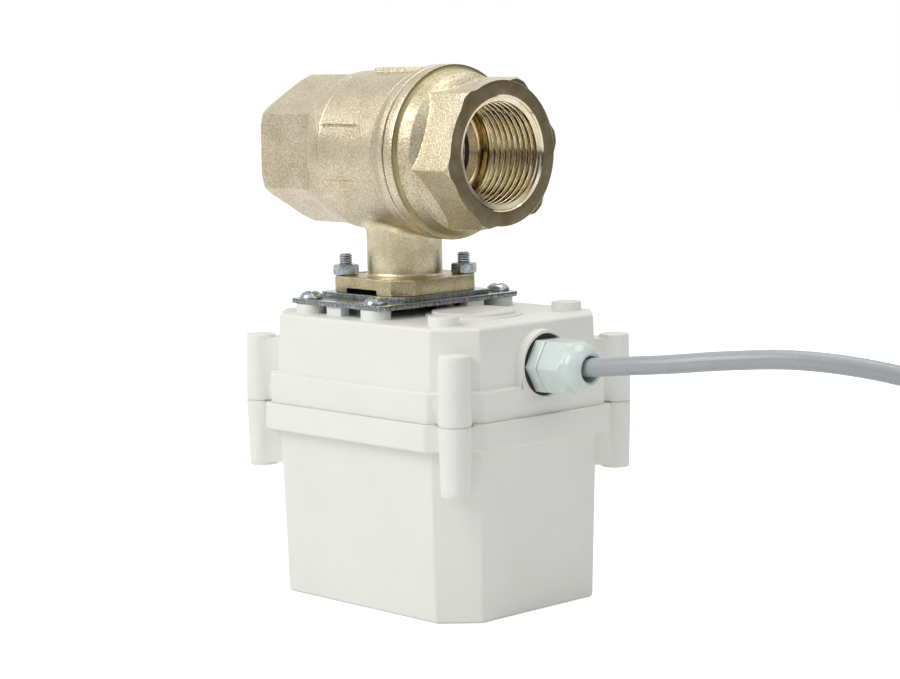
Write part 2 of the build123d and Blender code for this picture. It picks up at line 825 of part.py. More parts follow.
# Base cover: the upper half of the case, with everything moulded on it
with BuildPart() as base_cover:
    with BuildSketch(case_plane(parting_z)):
        case_outline()
    extrude(amount=cover_height, taper=cover_draft)
    fillet(upright_edges(base_cover), radius=upright_round)
    fillet(base_cover.edges().group_by(Axis.Z)[-1], radius=edge_round)
    case_band(upper_band_step, parting_z, parting_z + upper_band_height)
    fillet(rim_edges(base_cover, parting_z + upper_band_height), radius=band_round)
    case_posts(cover_post_tip, down=False)
    with BuildSketch(case_plane(parting_z)):
        case_outline(-case_wall)
    extrude(amount=cover_height - cover_roof, taper=cover_draft, mode=Mode.SUBTRACT)
    with BuildSketch(Plane.XY.offset(cover_top)):
        with Locations(*plate_screw_places, *[(free_boss_x, sy * free_boss_y) for sy in (-1, 1)]):
            Circle(boss_radius)
        for middle, length, side in pad_places:
            with Locations((middle, side * (plate_length / 2 - pad_inset - pad_depth / 2))):
                Rectangle(length, pad_depth)
        for middle, length, side in side_pad_places:
            with Locations((side * (plate_width / 2 - pad_inset - pad_depth / 2), middle)):
                Rectangle(pad_depth, length)
    extrude(amount=plate_bottom - cover_top)
    with BuildSketch(Plane.XY.offset(roof_inside - inner_boss_depth + cover_roof)):
        with Locations(*plate_screw_places):
            Circle(inner_boss_radius)
    extrude(amount=inner_boss_depth)
    with BuildSketch(Plane.XY.offset(gear_plate_top)):
        with Locations(*pillar_places):
            Circle(pillar_radius)
    extrude(amount=cover_top - edge_round - gear_plate_top)
    with BuildSketch(Plane.XY.offset(roof_inside - axle_boss_drop)):
        with Locations(one_place, two_place):
            Circle(axle_boss_radius)
            Circle(axle_radius + slip, mode=Mode.SUBTRACT)
    extrude(amount=axle_boss_drop)
    disc(plug_seat_radius, cover_top, cover_top + plug_seat_height, plug_x)
    rod(gland_pad_radius, wall_x, band_x)
    with BuildSketch(on_axis(wall_x, gland_y, gland_z)):
        Rectangle(2 * gland_pad_radius, gland_z - parting_z, align=(Align.CENTER, Align.MAX))
    extrude(amount=band_x - wall_x)
    # screw holes, shaft hole, plug hole, axle sockets and the gland's hole
    with BuildSketch(Plane.XY.offset(plate_bottom)):
        with Locations(*plate_screw_places):
            Circle(plate_screw_radius + slip)
    extrude(amount=-plate_screw_length, mode=Mode.SUBTRACT)
    with BuildSketch(Plane.XY.offset(gear_plate_top)):
        with Locations(*pillar_places):
            Circle(pillar_screw_radius + slip)
    extrude(amount=pillar_screw_length, mode=Mode.SUBTRACT)
    with BuildSketch(Plane.XY.offset(parting_z)):
        with Locations(*post_places):
            Circle(case_screw_radius + slip)
    extrude(amount=post_height - 3.0, mode=Mode.SUBTRACT)
    disc(bush_radius + slip, roof_inside, cover_top, mode=Mode.SUBTRACT)
    plug_seat = cover_top + plug_seat_height
    disc(plug_skirt_radius + slip, plug_seat - plug_skirt_depth, plug_seat, plug_x, mode=Mode.SUBTRACT)
    rod(gland_thread_radius + seat_gap, wall_x - case_wall, gland_face, mode=Mode.SUBTRACT)
    rod(gland_pad_recess, gland_face, band_x, mode=Mode.SUBTRACT)
    hex_rod(locknut_flats + 2 * hole_gap, wall_x - case_wall, wall_x, mode=Mode.SUBTRACT)
finish(base_cover, "base_cover")

with BuildPart() as round_plug:
    disc(plug_radius, plug_seat, plug_seat + plug_height, plug_x)
    fillet(round_plug.edges().group_by(Axis.Z)[-1], radius=plug_height / 3)
    disc(plug_skirt_radius, plug_seat - plug_skirt_depth, plug_seat, plug_x)
finish(round_plug, "round_plug")

# Deep cover: the lower half of the case
with BuildPart() as deep_cover:
    with BuildSketch(case_plane(parting_z, down=True)):
        case_outline()
    extrude(amount=parting_z, taper=deep_draft)
    fillet(upright_edges(deep_cover), radius=upright_round)
    fillet(deep_cover.edges().group_by(Axis.Z)[0], radius=edge_round)
    case_band(lower_band_step, parting_z - lower_band_height, parting_z)
    fillet(rim_edges(deep_cover, parting_z - lower_band_height), radius=band_round)
    case_posts(deep_post_tip, down=True)
    with BuildSketch(case_plane(parting_z, down=True)):
        case_outline(-case_wall)
    extrude(amount=parting_z - floor_thickness, taper=deep_draft, mode=Mode.SUBTRACT)
    with BuildSketch(Plane.XY.offset(floor_thickness / 2)):
        with Locations(*board_places):
            Circle(board_boss_radius)
    extrude(amount=board_z - floor_thickness / 2)
    # screw holes, with the heads let into the posts, and the seal's groove
    with BuildSketch(Plane.XY.offset(board_z)):
        with Locations(*board_places):
            Circle(board_screw_radius + slip)
    extrude(amount=-board_screw_length, mode=Mode.SUBTRACT)
    with BuildSketch(Plane.XY.offset(parting_z - post_height)):
        with Locations(*post_places):
            Circle(case_screw_radius + hole_gap)
    extrude(amount=post_height, mode=Mode.SUBTRACT)
    with BuildSketch(Plane.XY.offset(parting_z - post_height)):
        with Locations(*post_places):
            Circle(case_screw_head_radius + hole_gap)
    extrude(amount=case_screw_recess, mode=Mode.SUBTRACT)
    with BuildSketch(case_plane(parting_z - seal_depth)):
        case_outline(seal_groove_offset + seal_width / 2)
        seal_inside(seal_groove_offset - seal_width / 2)
    extrude(amount=seal_depth, mode=Mode.SUBTRACT)
finish(deep_cover, "deep_cover")

with BuildPart() as case_seal:
    with BuildSketch(case_plane(parting_z - seal_depth)):
        case_outline(seal_groove_offset + seal_width / 2 - snug)
        seal_inside(seal_groove_offset - seal_width / 2 + snug)
    extrude(amount=seal_depth)
finish(case_seal, "case_seal")

with BuildPart() as case_screws:
    for x, y in post_places:
        screw(
            x, y, parting_z - post_height + case_screw_recess, -1, case_screw_head_radius,
            case_screw_head_height, case_screw_radius, case_screw_length,
        )
finish(case_screws, "case_screws")

# Output shaft with the square socket for the stem
with BuildPart() as output_shaft:
    turned_along_z(
        [
            (0, shaft_foot),
            (shaft_foot_radius, shaft_foot),
            (shaft_foot_radius, gear_seat_end),
            (gear_seat_radius, gear_seat_end),
            (gear_seat_radius, shaft_step),
            (shaft_radius, shaft_step),
            (shaft_radius, shaft_ring_height - shaft_ring_width / 2),
            (shaft_radius - shaft_ring_groove, shaft_ring_height - shaft_ring_width / 2),
            (shaft_radius - shaft_ring_groove, shaft_ring_height + shaft_ring_width / 2),
            (shaft_radius, shaft_ring_height + shaft_ring_width / 2),
            (shaft_radius, shaft_top),
            (0, shaft_top),
        ]
    )
    with BuildSketch(Plane.XY.offset(shaft_top)):
        Rectangle(stem_square + 2 * seat_gap, stem_square + 2 * seat_gap)
    extrude(amount=-socket_depth, mode=Mode.SUBTRACT)
finish(output_shaft, "output_shaft")

with BuildPart() as output_bush:
    bush_bottom = roof_inside - bush_flange_thickness
    disc(bush_flange_radius, bush_bottom, roof_inside)
    disc(bush_radius, roof_inside, cover_top + bush_rise)
    disc(shaft_radius + slip, bush_bottom, cover_top + bush_rise, mode=Mode.SUBTRACT)
finish(output_bush, "output_bush")

with BuildPart() as shaft_seal:
    ring_in_groove(shaft_radius, shaft_ring_groove, shaft_ring_height)
finish(shaft_seal, "shaft_seal")

# Gears, each with a tooth or a gap on the line to the next one
half_tooth = pi / pinion_teeth

with BuildPart() as output_gear:
    with BuildSketch(Plane.XY.offset(output_gear_bottom)):
        gear_face(output_teeth, output_module, two_angle, gear_seat_radius + snug)
    extrude(amount=output_gear_height)
    with BuildSketch(Plane.XY.offset(output_gear_bottom + output_gear_height)):
        Circle(output_hub_radius)
        Circle(shaft_radius + snug, mode=Mode.SUBTRACT)
    extrude(amount=output_hub_top - output_gear_bottom - output_gear_height)
finish(output_gear, "output_gear")


def cluster_gear(place, wheel_bottom, wheel_turn, module, pinion_turn, pinion_top):
    """Wheel with a pinion on top of it and plain hubs at both ends, bored for its axle."""
    hub_top = roof_inside - axle_boss_drop - end_play
    wheel_top = wheel_bottom + wheel_height
    disc(gear_hub_radius, gear_plate_top + end_play, hub_top, *place)
    with BuildSketch(Plane((*place, wheel_bottom))) as wheel:
        gear_face(wheel_teeth, train_module, wheel_turn, axle_radius + slip)
    extrude(wheel.sketch, amount=wheel_height)
    with BuildSketch(Plane((*place, wheel_top))) as pinion:
        gear_face(pinion_teeth, module, pinion_turn, axle_radius + slip)
    extrude(pinion.sketch, amount=pinion_top - wheel_top)
    disc(axle_radius + slip, gear_plate_top + end_play, hub_top, *place, mode=Mode.SUBTRACT)


with BuildPart() as gear_two:
    cluster_gear(
        two_place, two_wheel_bottom, one_angle, output_module, two_angle + pi + half_tooth, two_pinion_top,
    )
finish(gear_two, "gear_two")

with BuildPart() as gear_one:
    cluster_gear(
        one_place, one_wheel_bottom, motor_angle, train_module, one_angle + pi + half_tooth, one_pinion_top,
    )
finish(gear_one, "gear_one")

for label, place in (("axle_two", two_place), ("axle_one", one_place)):
    with BuildPart() as axle:
        disc(axle_radius, gear_plate_z, roof_inside - axle_end_gap, *place)
    finish(axle, label)

with BuildPart() as gear_plate:
    motor_screw_places = [
        (
            motor_place[0] + side * motor_screw_spread * cos(radians(motor_screw_angle)),
            motor_place[1] + side * motor_screw_spread * sin(radians(motor_screw_angle)),
        )
        for side in (-1, 1)
    ]
    switch_screw_places = [(switch_front - switch_depth / 2, side * switch_screw_spread) for side in (-1, 1)]
    with BuildSketch(Plane.XY.offset(gear_plate_z)):
        with Locations((gear_plate_centre, 0)):
            Rectangle(gear_plate_length, gear_plate_width)
        chamfer(vertices(), length=gear_plate_corner)
        with Locations((gear_plate_centre + (gear_plate_length - wire_notch_depth) / 2, gland_y)):
            Rectangle(wire_notch_depth, wire_notch_width, mode=Mode.SUBTRACT)
        Circle(plate_bush_radius, mode=Mode.SUBTRACT)
        with Locations(one_place, two_place):
            Circle(axle_radius + snug, mode=Mode.SUBTRACT)
        with Locations(motor_place):
            Circle(motor_pilot_radius + seat_gap, mode=Mode.SUBTRACT)
        with Locations(*motor_screw_places):
            Circle(motor_screw_radius + hole_gap, mode=Mode.SUBTRACT)
        with Locations(*pillar_places):
            Circle(pillar_screw_radius + hole_gap, mode=Mode.SUBTRACT)
        with Locations(*switch_screw_places):
            Circle(switch_screw_radius + slip, mode=Mode.SUBTRACT)
    extrude(amount=gear_plate_thickness)
finish(gear_plate, "gear_plate")

with BuildPart() as plate_bush:
    disc(plate_bush_radius - snug, gear_plate_z, gear_plate_top)
    disc(plate_bush_rim, gear_plate_top, gear_plate_top + plate_bush_rim_height)
    disc(
        shaft_foot_radius + slip, gear_plate_z, gear_plate_top + plate_bush_rim_height, mode=Mode.SUBTRACT,
    )
finish(plate_bush, "plate_bush")

with BuildPart() as pillar_screws:
    for x, y in pillar_places:
        screw(
            x, y, gear_plate_z, -1, pillar_screw_head_radius, pillar_screw_head_height,
            pillar_screw_radius, pillar_screw_length,
        )
finish(pillar_screws, "pillar_screws")

# Motor: a can under the gear plate, its shaft and pinion
with BuildPart() as motor_body:
    disc(motor_radius, gear_plate_z - motor_length, gear_plate_z, *motor_place)
    fillet(motor_body.edges().group_by(Axis.Z)[0], radius=edge_round)
    disc(motor_pilot_radius, gear_plate_z, gear_plate_z + motor_pilot_height, *motor_place)
    disc(
        motor_shaft_radius + slip, gear_plate_z - motor_shaft_depth, gear_plate_z + motor_pilot_height,
        *motor_place, mode=Mode.SUBTRACT,
    )
    with BuildSketch(Plane.XY.offset(gear_plate_z)):
        with Locations(*motor_screw_places):
            Circle(motor_screw_radius + slip)
    extrude(amount=-motor_screw_length, mode=Mode.SUBTRACT)
finish(motor_body, "motor_body")

with BuildPart() as motor_shaft:
    disc(motor_shaft_radius, gear_plate_z - motor_shaft_depth + rest_gap, motor_shaft_top, *motor_place)
finish(motor_shaft, "motor_shaft")

with BuildPart() as motor_pinion:
    with BuildSketch(Plane((*motor_place, motor_pinion_bottom))):
        gear_face(pinion_teeth, train_module, motor_angle + pi + half_tooth, motor_shaft_radius + snug)
    extrude(amount=motor_pinion_top - motor_pinion_bottom)
finish(motor_pinion, "motor_pinion")

with BuildPart() as motor_screws:
    for x, y in motor_screw_places:
        screw(
            x, y, gear_plate_top, 1, motor_screw_head_radius, motor_screw_head_height,
            motor_screw_radius, motor_screw_length,
        )
finish(motor_screws, "motor_screws")


# Cams on the shaft: each pushes its switch's button at one end of the quarter turn
def cam_face(mirrored):
    """Cam outline that rises evenly over the quarter turn before the button's side."""

    def point(angle, radius):
        angle = radians(270 - angle if mirrored else angle)
        return (radius * cos(angle), radius * sin(angle))

    full = cam_base_radius + cam_rise
    rise_points = [point(90 + 15 * i, cam_base_radius + cam_rise * i / 6) for i in range(7)]
    with BuildLine() as outline:
        Spline(*rise_points)
        ThreePointArc(rise_points[-1], point((180 + cam_full_end) / 2, full), point(cam_full_end, full))
        Line(point(cam_full_end, full), point(cam_fall_end, cam_base_radius))
        ThreePointArc(point(cam_fall_end, cam_base_radius), point(340, cam_base_radius), rise_points[0])
    make_face(outline.edges())
    Circle(shaft_foot_radius + snug, mode=Mode.SUBTRACT)


for label, level, mirrored in (("cam_open", cam_levels[0], False), ("cam_shut", cam_levels[1], True)):
    with BuildPart() as cam:
        with BuildSketch(Plane.XY.offset(level - cam_thickness / 2)):
            cam_face(mirrored)
        extrude(amount=cam_thickness)
        rod(cam_screw_radius + slip, 0, cam_base_radius, 0, level, mode=Mode.SUBTRACT)
    finish(cam, label)

with BuildPart() as cam_screws:
    for level in cam_levels:
        rod(cam_screw_radius, shaft_foot_radius, shaft_foot_radius + cam_screw_length, 0, level)
finish(cam_screws, "cam_screws")

switch_middle = switch_front - switch_depth / 2
for label, level in (("switch_open", cam_levels[0]), ("switch_shut", cam_levels[1])):
    with BuildPart() as switch:
        with BuildSketch(Plane.XY.offset(level - switch_thickness / 2)):
            with Locations((switch_middle, 0)):
                Rectangle(switch_depth, switch_width)
            with Locations(*switch_screw_places):
                Circle(switch_screw_radius + hole_gap, mode=Mode.SUBTRACT)
        extrude(amount=switch_thickness)
        hole_start = switch_front - button_hole_depth
        rod(button_radius + slip, hole_start, switch_front, 0, level, mode=Mode.SUBTRACT)
    finish(switch, label)

button_rests = (
    ("button_open", cam_levels[0], cam_base_radius + cam_rise),
    ("button_shut", cam_levels[1], cam_base_radius),
)
for label, level, cam_radius in button_rests:
    tip = -cam_radius - rest_gap
    with BuildPart() as button:
        rod(button_radius, tip - button_length, tip, 0, level)
    finish(button, label)

with BuildPart() as switch_screws:
    lowest = cam_levels[1] - switch_thickness / 2
    for x, y in switch_screw_places:
        screw(
            x, y, lowest, -1, switch_screw_head_radius, switch_screw_head_height,
            switch_screw_radius, gear_plate_top - lowest,
        )
finish(switch_screws, "switch_screws")

# Circuit board, its screws and what stands on it
board_top = board_z + board_thickness
with BuildPart() as circuit_board:
    with BuildSketch(case_plane(board_z)):
        RectangleRounded(board_length, board_width, board_boss_radius)
    extrude(amount=board_thickness)
    with BuildSketch(Plane.XY.offset(board_z)):
        with Locations(*board_places):
            Circle(board_screw_radius + hole_gap)
    extrude(amount=board_thickness, mode=Mode.SUBTRACT)
finish(circuit_board, "circuit_board")

with BuildPart() as board_screws:
    for x, y in board_places:
        screw(
            x, y, board_top, 1, board_screw_head_radius, board_screw_head_height,
            board_screw_radius, board_screw_length,
        )
finish(board_screws, "board_screws")

terminal_top = board_top + terminal_height
terminal_ys = [terminal_y + terminal_pitch * (i - (terminal_poles - 1) / 2) for i in range(terminal_poles)]
with BuildPart() as terminal_block:
    with BuildSketch(Plane.XY.offset(board_top)):
        with Locations((terminal_x, terminal_y)):
            Rectangle(terminal_depth, terminal_pitch * terminal_poles)
    extrude(amount=terminal_height)
    for y in terminal_ys:
        disc(
            wire_hole_radius, terminal_top - wire_hole_depth, terminal_top,
            terminal_x + wire_hole_shift, y, mode=Mode.SUBTRACT,
        )
        disc(
            terminal_screw_radius + slip, terminal_top - terminal_screw_depth - terminal_screw_length,
            terminal_top, terminal_x + terminal_screw_shift, y, mode=Mode.SUBTRACT,
        )
finish(terminal_block, "terminal_block")

with BuildPart() as terminal_screws:
    screw_top = terminal_top - terminal_screw_depth
    for y in terminal_ys:
        x = terminal_x + terminal_screw_shift
        disc(terminal_screw_radius, screw_top - terminal_screw_length, screw_top, x, y)
        with Locations((x, y, screw_top)):
            Box(2 * terminal_screw_radius, terminal_screw_depth, terminal_screw_depth, mode=Mode.SUBTRACT)
finish(terminal_screws, "terminal_screws")

with BuildPart() as relay:
    with BuildSketch(Plane((*relay_centre, board_top))):
        Rectangle(relay_size[0], relay_size[1])
    extrude(amount=relay_size[2])
    fillet(relay.edges().group_by(Axis.Z)[-1], radius=band_round)
finish(relay, "relay")

with BuildPart() as capacitor:
    disc(capacitor_radius, board_top, board_top + capacitor_height, *capacitor_centre)
    fillet(capacitor.edges().group_by(Axis.Z)[-1], radius=band_round)
finish(capacitor, "capacitor")

# Cable gland
gland_body_start = gland_face + gland_washer_thickness
gland_sleeve_start = gland_body_start + gland_body_hex_length
gland_sleeve_end = gland_sleeve_start + gland_sleeve_length
gland_nut_start = gland_sleeve_start + gland_nut_gap
gland_dome_start = gland_nut_start + gland_nut_hex_length
gland_end = gland_dome_start + gland_dome_length
insert_end = gland_end - gland_mouth_wall

with BuildPart() as gland_washer:
    rod(gland_washer_radius, gland_face, gland_body_start)
    rod(gland_thread_radius + seat_gap, gland_face, gland_body_start, mode=Mode.SUBTRACT)
finish(gland_washer, "gland_washer")

with BuildPart() as gland_body:
    hex_rod(gland_hex, gland_body_start, gland_sleeve_start)
    rod(gland_thread_radius, gland_face - gland_thread_length, gland_body_start)
    rod(gland_sleeve_radius, gland_sleeve_start, gland_sleeve_end)
    rod(gland_bore_radius, gland_face - gland_thread_length, gland_sleeve_end, mode=Mode.SUBTRACT)
    rod(gland_cup_radius, gland_sleeve_end - gland_cup_length, gland_sleeve_end, mode=Mode.SUBTRACT)
finish(gland_body, "gland_body")

with BuildPart() as gland_nut:
    hex_rod(gland_hex, gland_nut_start, gland_dome_start)
    with BuildSketch(upright(0, gland_y, gland_z)):
        with BuildLine():
            Polyline(
                (gland_end, gland_dome_tip_radius),
                (gland_end, 0),
                (gland_dome_start, 0),
                (gland_dome_start, gland_hex / 2 - rest_gap),
            )
            ThreePointArc(
                (gland_dome_start, gland_hex / 2 - rest_gap),
                (gland_dome_start + 0.68 * gland_dome_length, gland_hex / 2 - 0.22 * gland_dome_length),
                (gland_end, gland_dome_tip_radius),
            )
        make_face()
    revolve(axis=Axis((0, gland_y, gland_z), (1, 0, 0)))
    rod(gland_sleeve_radius + seat_gap, gland_nut_start, insert_end, mode=Mode.SUBTRACT)
    rod(gland_mouth_radius, insert_end, gland_end, mode=Mode.SUBTRACT)
finish(gland_nut, "gland_nut")

with BuildPart() as gland_insert:
    rod(gland_cup_radius - snug, gland_sleeve_end - gland_cup_length, insert_end)
    rod(cable_radius + cable_fit, gland_sleeve_end - gland_cup_length, insert_end, mode=Mode.SUBTRACT)
finish(gland_insert, "gland_insert")

with BuildPart() as gland_locknut:
    hex_rod(locknut_flats, wall_x - locknut_thickness, wall_x)
    rod(gland_thread_radius + slip, wall_x - locknut_thickness, wall_x, mode=Mode.SUBTRACT)
finish(gland_locknut, "gland_locknut")


# Cable: straight through the gland, a free stretch, and the rest laid in a flat coil of two layers
def bend_radii(points):
    """Radius of each corner, so that the arcs take 0.45 of the shorter run beside them."""
    radii = []
    for before, here, after in zip(points, points[1:], points[2:]):
        arriving = Vector(*here) - Vector(*before)
        leaving = Vector(*after) - Vector(*here)
        half_turn = radians(arriving.get_angle(leaving)) / 2
        radii.append(0.45 * min(arriving.length, leaving.length) / tan(half_turn))
    return radii


def tube(points, radius):
    """Round tube along straight runs joined by tangent arcs."""
    with BuildLine() as path:
        FilletPolyline(*points, radius=bend_radii(points))
    middle_line = path.wire()
    with BuildSketch(Plane(middle_line @ 0, z_dir=middle_line % 0)) as section:
        Circle(radius)
    sweep(section.sketch, path=middle_line)
    return middle_line.length


with BuildPart() as cable_in_gland:
    rod(cable_radius, jacket_end, cable_start)
finish(cable_in_gland, "cable_in_gland")

with BuildPart() as cable_free:
    free_length = tube(free_route, cable_radius)
finish(cable_free, "cable_free")

coil_inlet = (
    free_route[-1][0] + cable_diameter * sin(coil_start_angle),
    free_route[-1][1] - cable_diameter * cos(coil_start_angle),
)
coil_centre = (
    coil_inlet[0] - coil_outer_radius * cos(coil_start_angle),
    coil_inlet[1] - coil_outer_radius * sin(coil_start_angle),
)
layer_heights = (cable_radius, cable_radius + coil_layer_step)


def coil_node(quarter):
    """Centre line of the clockwise coil after some quarter turns: the place and the direction."""
    turns = quarter / 4
    climb_middle = coil_turns_in + 0.25
    angle = coil_start_angle - 2 * pi * turns
    inward = coil_outer_radius - coil_pitch * min(turns, climb_middle)
    radius = inward + coil_pitch * max(0, turns - climb_middle)
    climb = min(max(turns - coil_turns_in, 0), 0.5) * 2
    height = layer_heights[0] + climb * coil_layer_step
    spread = coil_pitch / (2 * pi) * (copysign(1, turns - climb_middle) if turns != climb_middle else 0)
    rise = coil_layer_step / pi if turns == climb_middle else 0
    spread = 0 if quarter == 0 else spread
    place = Vector(coil_centre[0] + radius * cos(angle), coil_centre[1] + radius * sin(angle), height)
    heading = Vector(
        spread * cos(angle) + radius * sin(angle),
        spread * sin(angle) - radius * cos(angle),
        rise,
    )
    return place, heading.normalized()


def joined_arcs(start, start_way, end, end_way):
    """Two arcs that leave the start and reach the end in the given directions."""
    across = end - start
    both = start_way + end_way
    a = both.length**2 - 4
    b = -2 * across.dot(both)
    c = across.dot(across)
    reach = (-b - sqrt(b * b - 4 * a * c)) / (2 * a)
    first = start + start_way * reach
    second = end - end_way * reach
    middle = (first + second) / 2
    TangentArc(start, middle, tangent=start_way)
    TangentArc(middle, end, tangent=(second - first).normalized())


quarters = round(4 * (coil_turns_in + 0.5 + coil_turns_out))
nodes = [coil_node(q) for q in range(quarters + 1)]
coil_end = nodes[-1][0] + nodes[-1][1] * cable_diameter
with BuildPart() as cable_coil:
    with BuildLine() as coil_line:
        Line(free_route[-1], nodes[0][0])
        for (start, start_way), (end, end_way) in zip(nodes, nodes[1:]):
            joined_arcs(start, start_way, end, end_way)
        Line(nodes[-1][0], coil_end)
    coil_wire = coil_line.wire()
    with BuildSketch(Plane(free_route[-1], z_dir=nodes[0][1])) as section:
        Circle(cable_radius)
    sweep(section.sketch, path=coil_wire)
finish(cable_coil, "cable_coil")

with BuildPart() as cable_cores:
    with BuildSketch(Plane(coil_end, z_dir=nodes[-1][1])):
        with PolarLocations(core_shift, 3):
            Circle(core_diameter / 2)
    extrude(amount=core_length)
    with BuildSketch(Plane(coil_end + nodes[-1][1] * core_length, z_dir=nodes[-1][1])):
        with PolarLocations(core_shift, 3):
            Circle(ferrule_radius)
    extrude(amount=ferrule_length)
finish(cable_cores, "cable_cores")

# Cores inside the case, from the cable's end down to the terminals
wire_drop_x = 45.8
wire_spread_top = 52.0
wire_spread_bottom = 33.0
wire_bottom = terminal_top - wire_hole_depth
wire_angles = (210, 90, 330)  # degrees, where each core lies in the cable
with BuildPart() as inner_wires:
    for angle, y in zip(wire_angles, terminal_ys):
        start_y = gland_y + core_shift * cos(radians(angle))
        start_z = gland_z + core_shift * sin(radians(angle))
        drop_x = wire_drop_x - 0.5 * (start_z - gland_z)
        end_x = terminal_x + wire_hole_shift
        tube(
            [
                (jacket_end, start_y, start_z),
                (drop_x, start_y, start_z),
                (drop_x, start_y, wire_spread_top),
                (end_x, y, wire_spread_bottom),
                (end_x, y, wire_bottom),
            ],
            core_diameter / 2,
        )
finish(inner_wires, "inner_wires")

# Figures about the cable, for whoever reads the build's output
samples = [coil_wire @ (i / 600) for i in range(601)]
step = coil_wire.length / 600
apart = int(3 * cable_diameter / step)
least = min((p - q).length for i, p in enumerate(samples) for q in samples[i + apart:])
print("bend radii of the free cable", [round(r, 1) for r in bend_radii(free_route)])
print("least gap of the coil to itself", round(least - cable_diameter, 2))
print("free length", round(free_length, 1), "coil length", round(coil_wire.length, 1))
for name, solid, length in (
    ("free", cable_free.part, free_length),
    ("coil", cable_coil.part, coil_wire.length),
):
    print(name, "volume over section times length", round(solid.volume / (pi * cable_radius**2 * length), 4))
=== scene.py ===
import json
from math import cos, pi, radians, sin

import bmesh
import bpy
import numpy as np
from mathutils import Matrix, Vector


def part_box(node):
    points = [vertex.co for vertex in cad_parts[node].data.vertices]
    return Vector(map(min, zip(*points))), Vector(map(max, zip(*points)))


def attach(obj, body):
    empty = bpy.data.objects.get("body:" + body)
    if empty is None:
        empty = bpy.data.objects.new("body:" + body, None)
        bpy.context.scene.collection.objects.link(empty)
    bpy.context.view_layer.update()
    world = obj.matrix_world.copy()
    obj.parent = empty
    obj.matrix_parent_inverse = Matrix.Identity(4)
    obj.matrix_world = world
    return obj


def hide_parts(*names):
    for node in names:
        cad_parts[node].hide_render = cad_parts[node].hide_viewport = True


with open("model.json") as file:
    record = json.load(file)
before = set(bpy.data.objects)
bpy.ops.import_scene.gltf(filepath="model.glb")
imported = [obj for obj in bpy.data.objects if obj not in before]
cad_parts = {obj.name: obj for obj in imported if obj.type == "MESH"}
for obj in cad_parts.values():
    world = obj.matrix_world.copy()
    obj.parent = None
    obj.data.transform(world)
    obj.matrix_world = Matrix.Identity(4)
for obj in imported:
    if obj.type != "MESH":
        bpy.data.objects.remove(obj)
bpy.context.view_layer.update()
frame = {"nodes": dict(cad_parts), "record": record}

# Sizes are in mm and become metres where a mesh is made. The bore runs along X, the stem along Z.
MM = 0.001
turn = 2 * pi
bore_z = 133.9
face_x = 43.05  # the inlet's face lies at -face_x, the outlet's at face_x
flange_top = 96.3
bolt_places = [(-12.73, -12.73), (12.73, 12.73)]
gland = (0.5, 73.2)  # y and z of the cable gland's axis
cable_diameter = 5.4

nodes = frame["nodes"]
maths = "ShaderNodeMath"


def from_hex(text):
    """The linear RGBA of an sRGB colour written as six hex digits."""
    parts = [int(text[i:i + 2], 16) / 255 for i in (0, 2, 4)]
    return tuple(c / 12.92 if c <= 0.04045 else ((c + 0.055) / 1.055) ** 2.4 for c in parts) + (1.0,)


def add(tree, kind, inputs=None, **settings):
    """A new node with its settings and inputs; a node given as an input links by its first output."""
    node = tree.nodes.new(kind)
    for name, value in settings.items():
        setattr(node, name, value)
    for name, value in (inputs or {}).items():
        if isinstance(value, bpy.types.Node):
            value = value.outputs[0]
        if isinstance(value, bpy.types.NodeSocket):
            tree.links.new(value, node.inputs[name])
        else:
            node.inputs[name].default_value = value
    return node


# Camera: the photograph's angle, with its roll, on a 36 mm wide sensor
eye = Vector((544.8, -504.8, 166.2)) * MM
yaw, pitch, roll = radians(46.15), radians(6.94), radians(-0.98)
back = Vector((sin(yaw) * cos(pitch), -cos(yaw) * cos(pitch), sin(pitch)))
level = Vector((cos(yaw), sin(yaw), 0))
upright = back.cross(level)
right = level * cos(roll) + upright * sin(roll)
above = upright * cos(roll) - level * sin(roll)
camera = bpy.data.objects.new("camera", bpy.data.cameras.new("camera"))
bpy.context.scene.collection.objects.link(camera)
camera.data.lens = 97.57
camera.data.sensor_width = 36
camera.data.clip_end = 20
pose = Matrix((right, above, back)).transposed().to_4x4()
pose.translation = eye
camera.matrix_world = pose
bpy.context.scene.camera = camera
bpy.context.scene.view_settings.view_transform = "Standard"


# Finishes

def finish(name, light, dark, metallic=0.0, rough=0.4, rough_spread=0.05, grain=0.4, blotch=8.0, bump=0.01,
           stretch=(1, 1, 1), mix=0.5, **shader):
    """A material of two tones in blotches, with a fine grain that moves gloss and height; sizes in mm.

    mix is the grain's share in the tone, from 0 for blotches alone to 1 for grain alone.
    """
    made = bpy.data.materials.new(name)
    made.use_nodes = True
    tree = made.node_tree
    body = tree.nodes["Principled BSDF"]
    place = add(tree, "ShaderNodeTexCoord").outputs["Object"]
    stretched = add(tree, "ShaderNodeMapping", {"Vector": place, "Scale": stretch})
    coarse = add(tree, "ShaderNodeTexNoise", {"Vector": place, "Scale": 1000 / blotch, "Detail": 3.0})
    fine = add(tree, "ShaderNodeTexNoise", {"Vector": stretched, "Scale": 1000 / grain, "Detail": 2.0})
    tone = add(tree, "ShaderNodeMix", {"Factor": mix, "A": coarse, "B": fine}, data_type="FLOAT")
    colour = add(tree, "ShaderNodeValToRGB", {"Fac": tone})
    for stop, position, text in zip(colour.color_ramp.elements, (0.36, 0.64), (dark, light)):
        stop.position = position
        stop.color = from_hex(text)
    gloss = add(tree, "ShaderNodeMapRange", {"Value": tone, "From Min": 0.3, "From Max": 0.7,
                                             "To Min": rough + rough_spread, "To Max": rough - rough_spread})
    height = add(tree, "ShaderNodeBump", {"Height": fine, "Distance": bump * MM})
    for socket, node in (("Base Color", colour), ("Roughness", gloss), ("Normal", height)):
        tree.links.new(node.outputs[0], body.inputs[socket])
    body.inputs["Metallic"].default_value = metallic
    for socket, value in shader.items():
        body.inputs[socket].default_value = value
    return made


